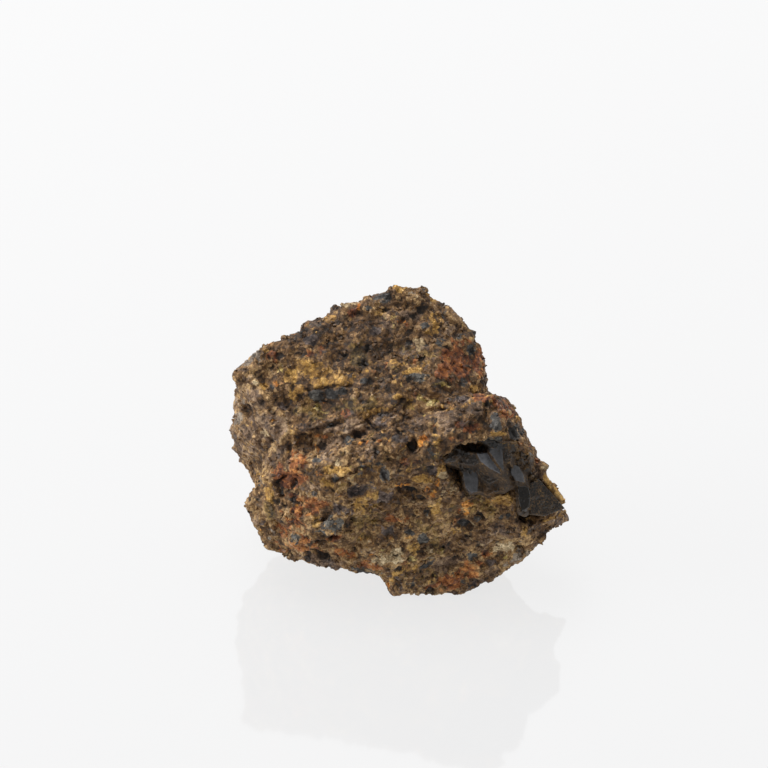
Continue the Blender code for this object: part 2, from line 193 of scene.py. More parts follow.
def solid_of(node):
    """A copy of a CAD node's mesh, with its loose triangles merged."""
    shape = bmesh.new()
    shape.from_mesh(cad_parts[node].data)
    bmesh.ops.remove_doubles(shape, verts=shape.verts, dist=SAME_POINT)
    mesh = bpy.data.meshes.new(node)
    shape.to_mesh(mesh)
    shape.free()
    return mesh


def even_skin(mesh, voxel):
    """The mesh remade of even squares with sides of one voxel, as points and triangles."""
    stand_in = bpy.data.objects.new("even skin", mesh)
    bpy.context.collection.objects.link(stand_in)
    remesh = stand_in.modifiers.new("even faces", "REMESH")
    remesh.mode = "VOXEL"
    remesh.voxel_size = voxel
    triangulate = stand_in.modifiers.new("triangles", "TRIANGULATE")
    triangulate.quad_method = "SHORTEST_DIAGONAL"
    graph = bpy.context.evaluated_depsgraph_get()
    made = bpy.data.meshes.new_from_object(stand_in.evaluated_get(graph))
    bpy.data.objects.remove(stand_in)
    return arrays_of(made)


def arrays_of(mesh):
    """A triangle mesh's points (in metres) and its triangles as two arrays."""
    points = np.empty(len(mesh.vertices) * 3)
    mesh.vertices.foreach_get("co", points)
    triangles = np.empty(len(mesh.polygons) * 3, int)
    mesh.polygons.foreach_get("vertices", triangles)
    return points.reshape(-1, 3), triangles.reshape(-1, 3)


# The corner that a triangle is turned to start from, by which of its sides are halved: 1 for the
# first side, 2 for the second and 4 for the third, added up
FIRST_CORNER = np.array([0, 0, 1, 0, 2, 2, 1, 0])


def split_long(points, triangles, longest):
    """Halves every edge that is longer than the mean of what longest allows at its ends.

    A triangle with one, two or three halved sides becomes two, three or four triangles. Each is
    first turned so that its halved sides come first.
    """
    sides = np.sort(triangles[:, [[0, 1], [1, 2], [2, 0]]], axis=2).reshape(-1, 2)
    keys, where = np.unique(sides[:, 0] * len(points) + sides[:, 1], return_inverse=True)
    ends = np.stack([keys // len(points), keys % len(points)], axis=1)
    middles = points[ends].mean(axis=1)
    lengths = np.sqrt(((points[ends[:, 0]] - points[ends[:, 1]]) ** 2).sum(axis=1))
    halved = lengths > longest[ends].mean(axis=1)
    new = np.full(len(keys), -1)
    new[halved] = len(points) + np.arange(halved.sum())
    new = new[where].reshape(-1, 3)
    code = (new >= 0) @ np.array([1, 2, 4])
    order = (np.arange(3) + FIRST_CORNER[code][:, None]) % 3
    (a, b, c), (ab, bc, ca) = (np.take_along_axis(rows, order, axis=1).T for rows in (triangles, new))
    count = (new >= 0).sum(axis=1)
    whole = [(a, b, c)]
    two = [(a, ab, c), (ab, b, c)]
    three = [(a, ab, c), (ab, bc, c), (ab, b, bc)]
    four = [(a, ab, ca), (ab, b, bc), (ca, bc, c), (ab, bc, ca)]
    parts = [
        np.stack(corners, axis=1)[count == cuts]
        for cuts, pattern in enumerate((whole, two, three, four))
        for corners in pattern
    ]
    return np.concatenate([points, middles[halved]]), np.concatenate(parts)


# Keeps a length that is divided by above zero
TINY = 1e-20


def outward(points, triangles):
    """Each point's normal: the sum of its triangles' normals, each as long as twice its area."""
    a, b, c = (points[triangles[:, corner]] for corner in range(3))
    across = np.cross(b - a, c - a)
    total = np.stack(
        [np.bincount(triangles.ravel(), np.repeat(across[:, axis], 3), len(points)) for axis in range(3)],
        axis=1,
    )
    return total / np.maximum(np.sqrt((total**2).sum(axis=1)), TINY)[:, None]


def relaxed(points, triangles, share, rounds):
    """Moves each point a share of the way to the mean of its neighbours, some rounds over."""
    start = triangles.ravel()
    end = triangles[:, [1, 2, 0]].ravel()
    both, other = np.concatenate([start, end]), np.concatenate([end, start])
    count = np.bincount(both, minlength=len(points))
    for _ in range(rounds):
        mean = np.stack([np.bincount(both, points[other, axis], len(points)) for axis in range(3)], axis=1)
        points = points + share * (mean / count[:, None] - points)
    return points


def piece(name, points, faces, material, smooth=False):
    """A named object at the origin, made of the arrays, that rides on the specimen's one body."""
    mesh = bpy.data.meshes.new(name)
    mesh.vertices.add(len(points))
    mesh.vertices.foreach_set("co", points.ravel())
    mesh.loops.add(faces.size)
    mesh.loops.foreach_set("vertex_index", faces.ravel())
    mesh.polygons.add(len(faces))
    mesh.polygons.foreach_set("loop_start", np.arange(len(faces)) * faces.shape[1])
    mesh.polygons.foreach_set("use_smooth", np.full(len(faces), smooth))
    mesh.update(calc_edges=True)
    mesh.validate()
    mesh.materials.append(material)
    made = bpy.data.objects.new(name, mesh)
    bpy.context.collection.objects.link(made)
    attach(made, "root")
    return made


def store(thing, name, values):
    """Keeps one number for each point of a piece, for its material to read."""
    attribute = thing.data.attributes.new(name, "FLOAT", "POINT")
    attribute.data.foreach_set("value", values.astype(np.float32))


# Colours and material nodes


def linear(code):
    """The linear colour of an sRGB hex value such as "8a6a34", by the sRGB standard's own curve."""
    parts = [int(code[start : start + 2], 16) / 255 for start in (0, 2, 4)]
    return (*[p / 12.92 if p <= 0.04045 else ((p + 0.055) / 1.055) ** 2.4 for p in parts], 1.0)


def per(width):
    """The scale of a pattern that repeats about every so many millimetres."""
    return 1 / (width * MM)


def add(tree, kind, inputs=None, result=0, stops=(), **settings):
    """Adds a node with its settings and colour stops, sets or links its inputs and gives one output."""
    made = tree.nodes.new(kind)
    for name, value in settings.items():
        setattr(made, name, value)
    if stops:
        run = made.color_ramp.elements
        run.remove(run[1])
        run[0].position, run[0].color = stops[0][0], linear(stops[0][1])
        for where, code in stops[1:]:
            run.new(where).color = linear(code)
    for name, value in (inputs or {}).items():
        if isinstance(value, bpy.types.NodeSocket):
            tree.links.new(value, made.inputs[name])
        else:
            made.inputs[name].default_value = value
    return made.outputs[result]


def material(name):
    """A new Principled material, its node tree and its shader."""
    made = bpy.data.materials.new(name)
    made.use_nodes = True
    tree = made.node_tree
    return made, tree, tree.nodes["Principled BSDF"]


# The rock's material

# The kinds of grain in the rock, in the order in which they are laid over each other: how readily
# each shows up by itself, its patches' width in millimetres, and its colours from dark to light
KINDS = {
    "umber": (0.03, 3.0, ("1f1206", "422a12", "6a4a23", "96713c")),
    "mauve": (-0.05, 3.4, ("302319", "544031", "7c634c", "aa8f72")),
    "olive": (0.03, 2.8, ("2d210f", "523f1b", "7d612f", "ad8e55")),
    "rust": (-0.02, 2.4, ("371808", "693717", "995b2a", "c38446")),
    "ochre": (0.01, 2.0, ("4d3514", "825e29", "b28842", "d8b06b")),
    "pale": (-0.07, 1.6, ("634f39", "917a58", "bba47d", "dfcba5")),
    "plum": (-0.07, 1.5, ("1a1312", "342925", "524540", "7e6f69")),
    "slate": (-0.09, 1.2, ("111111", "242424", "3d3e3d", "636461")),
    "straw": (-0.11, 1.2, ("5c4a21", "8d7738", "b8a05d", "ddcb92")),
    "orange": (-0.11, 1.0, ("67360c", "9e5c19", "cc8732", "eeb868")),
    # Black grains, and painted shade in holes, cracks and under ledges
    "black": (-0.13, 0.9, ("070504", "100c08", "1e1710", "33281c")),
    # Grey grains, and a painted sheen where the edges would mirror the white tent
    "grey_grains_and_painted_sheen": (-0.13, 2.2, ("2d2721", "564c41", "796c5e", "9f9282")),
}
# Where a kind's four colours lie between dark and light, and the brown that all kinds lie on
TINT_STOPS = (0.05, 0.35, 0.65, 1.0)
BASE_COLOURS = ((0.0, "1c1307"), (0.3, "422c16"), (0.6, "735431"), (1.0, "ba9868"))
# How much noise in patches counts by itself is 1; these are a grain's own luck, a lump's and a mark's
GRAIN_SHARE, LUMP_SHARE, MARK_SHARE = 0.19, 0.20, 0.38
# The sum at which a kind of grain appears, the one at which it fills its place, and how much it covers
APPEARS, FILLS, STRONGEST = 0.84, 0.95, 0.92
# Where a kind's noise starts, how far it is from the next kind's, and how rough it is
KIND_START, KIND_STEP, KIND_ROUGHNESS = 1.3, 3.7, 0.62
# A cell's luck for each kind is its random colour, stretched and shifted, then folded back to 0 to 1
LUCK_STRETCH, LUCK_SHIFT = 5.0, 0.37

# The widths in millimetres of lumps and grains, of the noise that bends their edges and how far,
# of specks and clouds of lighter and darker rock, and of the crumbs and the fine bump in a grain
LUMP_WIDTH, GRAIN_WIDTH = 1.6, 0.62
BEND_WIDTH, BEND = 0.7, 0.75
SPECK_WIDTH, CLOUD_WIDTH = 0.5, 3.0
CRUMB_WIDTH, FINE_WIDTH = 0.26, 0.3
# How light the rock is: the level, and the shares of specks, each grain's luck, clouds and height. By
# height, ridges are painted lighter and hollows darker, partly wear and partly painted shade.
SHADE_LEVEL, SPECK_LIGHT, LUCK_LIGHT, CLOUD_LIGHT, HIGH_LIGHT = -0.82, 1.5, 0.42, 0.75, 0.18
# Crumbs are drawn out along a direction that turns from lump to lump
DRAWN_AXIS, DRAWN_TURN, DRAWN_OUT = (0.6, 0.35, 0.72), 4.0 * math.pi, (1.3, 1.3, 0.42)
# The bump: how steep a grain's facet is for each millimetre, and the bump's height in millimetres
FACET_BUMP, BUMP_HEIGHT, BUMP_STRENGTH = 2.0, 0.13, 0.9
HALF = (0.5, 0.5, 0.5)
# How rough the dullest and the glossiest grains are, in the rock and in the small crystals on it
ROCK_GLOSS, GRAIN_GLOSS = (0.78, 0.4), (0.55, 0.2)


def grain_colour(tree, place, lucks, shade):
    """The rock's colour: brown, with each kind of grain over it where luck and marks are great enough."""
    colour = add(tree, "ShaderNodeValToRGB", {"Fac": shade}, stops=BASE_COLOURS)
    for number, (kind, (readiness, width, codes)) in enumerate(KINDS.items()):
        there = add(tree, "ShaderNodeAttribute", result="Fac", attribute_name=kind)
        patches = {
            "Vector": place, "W": KIND_STEP * number + KIND_START,
            "Scale": per(width), "Detail": 3.0, "Roughness": KIND_ROUGHNESS,
        }
        chance = add(tree, "ShaderNodeTexNoise", patches, noise_dimensions="4D")
        for cells, share in zip(lucks, (GRAIN_SHARE, LUMP_SHARE)):
            own = cells.node.outputs[("Red", "Green", "Blue")[number % 3]]
            stretched = {0: own, 1: LUCK_STRETCH, 2: LUCK_SHIFT * number}
            own = add(tree, "ShaderNodeMath", stretched, operation="MULTIPLY_ADD")
            own = add(tree, "ShaderNodeMath", {0: own, 1: 1.0}, operation="PINGPONG")
            chance = add(tree, "ShaderNodeMath", {0: own, 1: share, 2: chance}, operation="MULTIPLY_ADD")
        marked = {0: there, 1: MARK_SHARE, 2: chance}
        chance = add(tree, "ShaderNodeMath", marked, operation="MULTIPLY_ADD")
        cover = {
            "Value": chance, "From Min": APPEARS - readiness, "From Max": FILLS - readiness,
            "To Max": STRONGEST,
        }
        amount = add(tree, "ShaderNodeMapRange", cover, interpolation_type="SMOOTHSTEP")
        tint = add(tree, "ShaderNodeValToRGB", {"Fac": shade}, stops=tuple(zip(TINT_STOPS, codes)))
        laid = {0: amount, 6: colour, 7: tint}
        colour = add(tree, "ShaderNodeMix", laid, result=2, data_type="RGBA")
    return colour


def broken_skarn(name, dullest, glossiest):
    """Iron-stained skarn, broken by hammer and frost: dull, granular, each grain its own brown.

    The eye sees grains of half a millimetre in umber, mauve-brown, ochre, rust and slate, gathered in
    patches, some of them glassy. Pits are painted near black as painted shade. Ridges are painted paler
    and hollows darker, partly wear and partly painted shade. Grey sheen and light and shade are painted
    onto marked areas.
    in patches, some of them glassy, with dark dirt in the pits and paler worn ridges.
    """
    made, tree, shader = material(name)
    place = add(tree, "ShaderNodeTexCoord", result="Object")

    # Lumps and grains: cells with bent edges, flatter across the rock's layers
    turned = {"Vector": place, "Rotation": LAYER_TURN, "Scale": (1.0, 1.0, 1.0 / LAYER_SQUEEZE)}
    layered = add(tree, "ShaderNodeMapping", turned, vector_type="TEXTURE")
    bends = {"Vector": place, "Scale": per(BEND_WIDTH), "Detail": 3.0}
    bend = add(tree, "ShaderNodeTexNoise", bends, "Color")
    bend = add(tree, "ShaderNodeVectorMath", {0: bend, 1: HALF}, operation="SUBTRACT")
    moved = {0: bend, 1: (BEND * MM,) * 3, 2: layered}
    bent = add(tree, "ShaderNodeVectorMath", moved, operation="MULTIPLY_ADD")
    lump = add(tree, "ShaderNodeTexVoronoi", {"Vector": bent, "Scale": per(LUMP_WIDTH)}, "Color")
    grain = add(tree, "ShaderNodeTexVoronoi", {"Vector": bent, "Scale": per(GRAIN_WIDTH)}, "Color")
    lucks = [add(tree, "ShaderNodeSeparateColor", {"Color": cells}) for cells in (grain, lump)]

    # How light each place is: specks, grain luck and clouds; height, which paints ridges lighter and
    # hollows darker, partly wear and partly painted shade; and the painted light and shade of the marked
    # areas
    specks = {"Vector": bent, "Scale": per(SPECK_WIDTH), "Detail": 4.0, "Roughness": 0.7}
    speck = add(tree, "ShaderNodeTexNoise", specks)
    cloud = add(tree, "ShaderNodeTexNoise", {"Vector": place, "Scale": per(CLOUD_WIDTH), "Detail": 2.0})
    high, painted_light_and_tone, sunk = (
        add(tree, "ShaderNodeAttribute", result="Fac", attribute_name=look)
        for look in ("high", "painted_light_and_tone", "sunk")
    )
    shade = SHADE_LEVEL
    for part, share in (
        (speck, SPECK_LIGHT), (lucks[0], LUCK_LIGHT), (cloud, CLOUD_LIGHT), (high, HIGH_LIGHT),
    ):
        shade = add(tree, "ShaderNodeMath", {0: part, 1: share, 2: shade}, operation="MULTIPLY_ADD")
    # Painted light and shade of the marked areas, with random tone on the hidden sides
    shade = add(tree, "ShaderNodeMath", {0: shade, 1: painted_light_and_tone}, operation="ADD")

    # Colour: the kinds of grain, then painted shade in the pits, then crumbs and darker rims on every
    # grain
    colour = grain_colour(tree, place, lucks, shade)
    # Pits painted near black, 140d07: painted shade
    dirt = add(tree, "ShaderNodeMapRange", {"Value": sunk, "From Min": 0.1, "From Max": 1.0})
    shaded_pits = {0: dirt, 6: colour, 7: linear("140d07")}
    colour = add(tree, "ShaderNodeMix", shaded_pits, result=2, data_type="RGBA")
    angle = add(tree, "ShaderNodeMath", {0: lucks[1], 1: DRAWN_TURN}, operation="MULTIPLY")
    turned = {"Vector": bent, "Axis": DRAWN_AXIS, "Angle": angle}
    drawn = add(tree, "ShaderNodeVectorRotate", turned, rotation_type="AXIS_ANGLE")
    drawn = add(tree, "ShaderNodeVectorMath", {0: drawn, 1: DRAWN_OUT}, operation="MULTIPLY")
    crumbs = {"Vector": drawn, "Scale": per(CRUMB_WIDTH), "Detail": 2.5, "Roughness": 0.7}
    crumb = add(tree, "ShaderNodeTexNoise", crumbs)
    flecked = {"Value": crumb, "From Min": 0.32, "From Max": 0.7, "To Min": 0.6, "To Max": 1.6}
    fleck = add(tree, "ShaderNodeMapRange", flecked)
    # Grain rims darker: dark joints between grains, and painted shade in their creases
    from_middle = grain.node.outputs["Distance"]
    rimmed = {"Value": from_middle, "From Min": 0.4, "From Max": 0.9, "To Min": 1.03, "To Max": 0.8}
    rim = add(tree, "ShaderNodeMapRange", rimmed)
    fleck = add(tree, "ShaderNodeMath", {0: fleck, 1: rim}, operation="MULTIPLY")
    colour = add(tree, "ShaderNodeVectorMath", {0: colour, 1: fleck}, operation="MULTIPLY")

    # Bump: a facet on every grain, which leans its own way, and fine roughness over it
    roughness = {"Vector": drawn, "Scale": per(FINE_WIDTH), "Detail": 4.0, "Roughness": 0.65}
    fine = add(tree, "ShaderNodeTexNoise", roughness)
    lean = add(tree, "ShaderNodeVectorMath", {0: grain, 1: HALF}, operation="SUBTRACT")
    middle = grain.node.outputs["Position"]
    away = add(tree, "ShaderNodeVectorMath", {0: bent, 1: middle}, operation="SUBTRACT")
    facet = add(tree, "ShaderNodeVectorMath", {0: lean, 1: away}, "Value", operation="DOT_PRODUCT")
    sloped = {0: facet, 1: FACET_BUMP / MM, 2: fine}
    height = add(tree, "ShaderNodeMath", sloped, operation="MULTIPLY_ADD")
    raised = {"Height": height, "Strength": BUMP_STRENGTH, "Distance": BUMP_HEIGHT * MM}
    bump = add(tree, "ShaderNodeBump", raised)

    # Gloss: four grains in ten are glassy, each in its own measure
    luck = lucks[0].node.outputs["Green"]
    gloss = add(
        tree, "ShaderNodeMapRange",
        {"Value": luck, "From Min": 0.6, "To Min": dullest, "To Max": glossiest},
    )
    tree.links.new(colour, shader.inputs["Base Color"])
    tree.links.new(gloss, shader.inputs["Roughness"])
    tree.links.new(bump, shader.inputs["Normal"])
    return made


# The crystals' material: the widths in millimetres of clouds in the colour and of dust on it, how
# much more dust lies where a crystal is dirty, and the colours of its parts
SMOKE_WIDTH, DUST_WIDTH = 0.8, 0.24
DIRT_SHARE = 0.42
# The grey painted on faces: a painted reflection of the white studio, partly haze from cleavage cracks
GREY_HAZE_AND_PAINTED_REFLECTION = ((0.3, "414244"), (0.7, "6d6e73"))
HONEY_BROWN = ((0.3, "2e1d0a"), (0.7, "704d1e"))
SMOKY_BLACK = ((0.3, "0a0806"), (0.75, "221b13"))
OCHRE_CLAY = ((0.3, "20150a"), (0.5, "463118"), (0.7, "86683c"))
POLISHED, DULL = 0.14, 0.75
AXINITE_IOR = 1.68
# Less than the usual 0.5, for faces that growth lines and dust make mirror less
AXINITE_SPECULAR = 0.32


def smoky_axinite(name):
    """Axinite: a hard glassy mineral, IOR 1.68, so smoky that little light comes out of it again.

    The eye sees nearly black faces, honey brown where they are thin, and a dusting of ochre clay. Grey is
    painted onto faces that mirror the white studio, a painted reflection, partly haze from cleavage
    cracks.
    """
    made, tree, shader = material(name)
    place = add(tree, "ShaderNodeTexCoord", result="Object")
    # Grey painted on faces: painted reflection of the white studio, partly haze from cleavage cracks
    haze_and_painted_reflection, honey, dirt, worn = (
        add(tree, "ShaderNodeAttribute", result="Fac", attribute_name=look)
        for look in ("haze_and_painted_reflection", "honey", "dirt", "worn")
    )
    smoke = {"Vector": place, "Scale": per(SMOKE_WIDTH), "Detail": 5.0, "Roughness": 0.65}
    cloud = add(tree, "ShaderNodeTexNoise", smoke)
    black, grey, brown, clay = (
        add(tree, "ShaderNodeValToRGB", {"Fac": cloud}, stops=colours)
        for colours in (SMOKY_BLACK, GREY_HAZE_AND_PAINTED_REFLECTION, HONEY_BROWN, OCHRE_CLAY)
    )
    grit = {"Vector": place, "Scale": per(DUST_WIDTH), "Detail": 3.0, "Roughness": 0.8}
    dust = add(tree, "ShaderNodeTexNoise", grit)
    dusty = add(tree, "ShaderNodeMath", {0: dirt, 1: DIRT_SHARE, 2: dust}, operation="MULTIPLY_ADD")
    dusty = add(tree, "ShaderNodeMapRange", {"Value": dusty, "From Min": 0.66, "From Max": 0.8})
    colour = black
    for amount, over in ((haze_and_painted_reflection, grey), (honey, brown), (dusty, clay)):
        laid = {0: amount, 6: colour, 7: over}
        colour = add(tree, "ShaderNodeMix", laid, result=2, data_type="RGBA")
    dull = add(tree, "ShaderNodeMath", {0: dusty, 1: worn}, operation="MAXIMUM")
    gloss = add(tree, "ShaderNodeMapRange", {"Value": dull, "To Min": POLISHED, "To Max": DULL})
    bump = add(tree, "ShaderNodeBump", {"Height": dust, "Strength": 0.3, "Distance": 0.04 * MM})
    tree.links.new(colour, shader.inputs["Base Color"])
    tree.links.new(gloss, shader.inputs["Roughness"])
    tree.links.new(bump, shader.inputs["Normal"])
    shader.inputs["IOR"].default_value = AXINITE_IOR
    shader.inputs["Specular IOR Level"].default_value = AXINITE_SPECULAR
    return made


# The floor's own light, the polish and the acrylic's IOR
FLOOR_GLOW, FLOOR_POLISH, ACRYLIC_IOR = 0.76, 0.06, 1.49


def white_acrylic():
    """Opal acrylic sheet, polished and lit from below: white all over, with a faint mirror image."""
    made, tree, shader = material("polished_opal_acrylic")
    shader.inputs["Base Color"].default_value = linear("4a4a4b")
    shader.inputs["Roughness"].default_value = FLOOR_POLISH
    shader.inputs["IOR"].default_value = ACRYLIC_IOR
    shader.inputs["Emission Color"].default_value = linear("ffffff")
    shader.inputs["Emission Strength"].default_value = FLOOR_GLOW
    return made


# The rock's marks

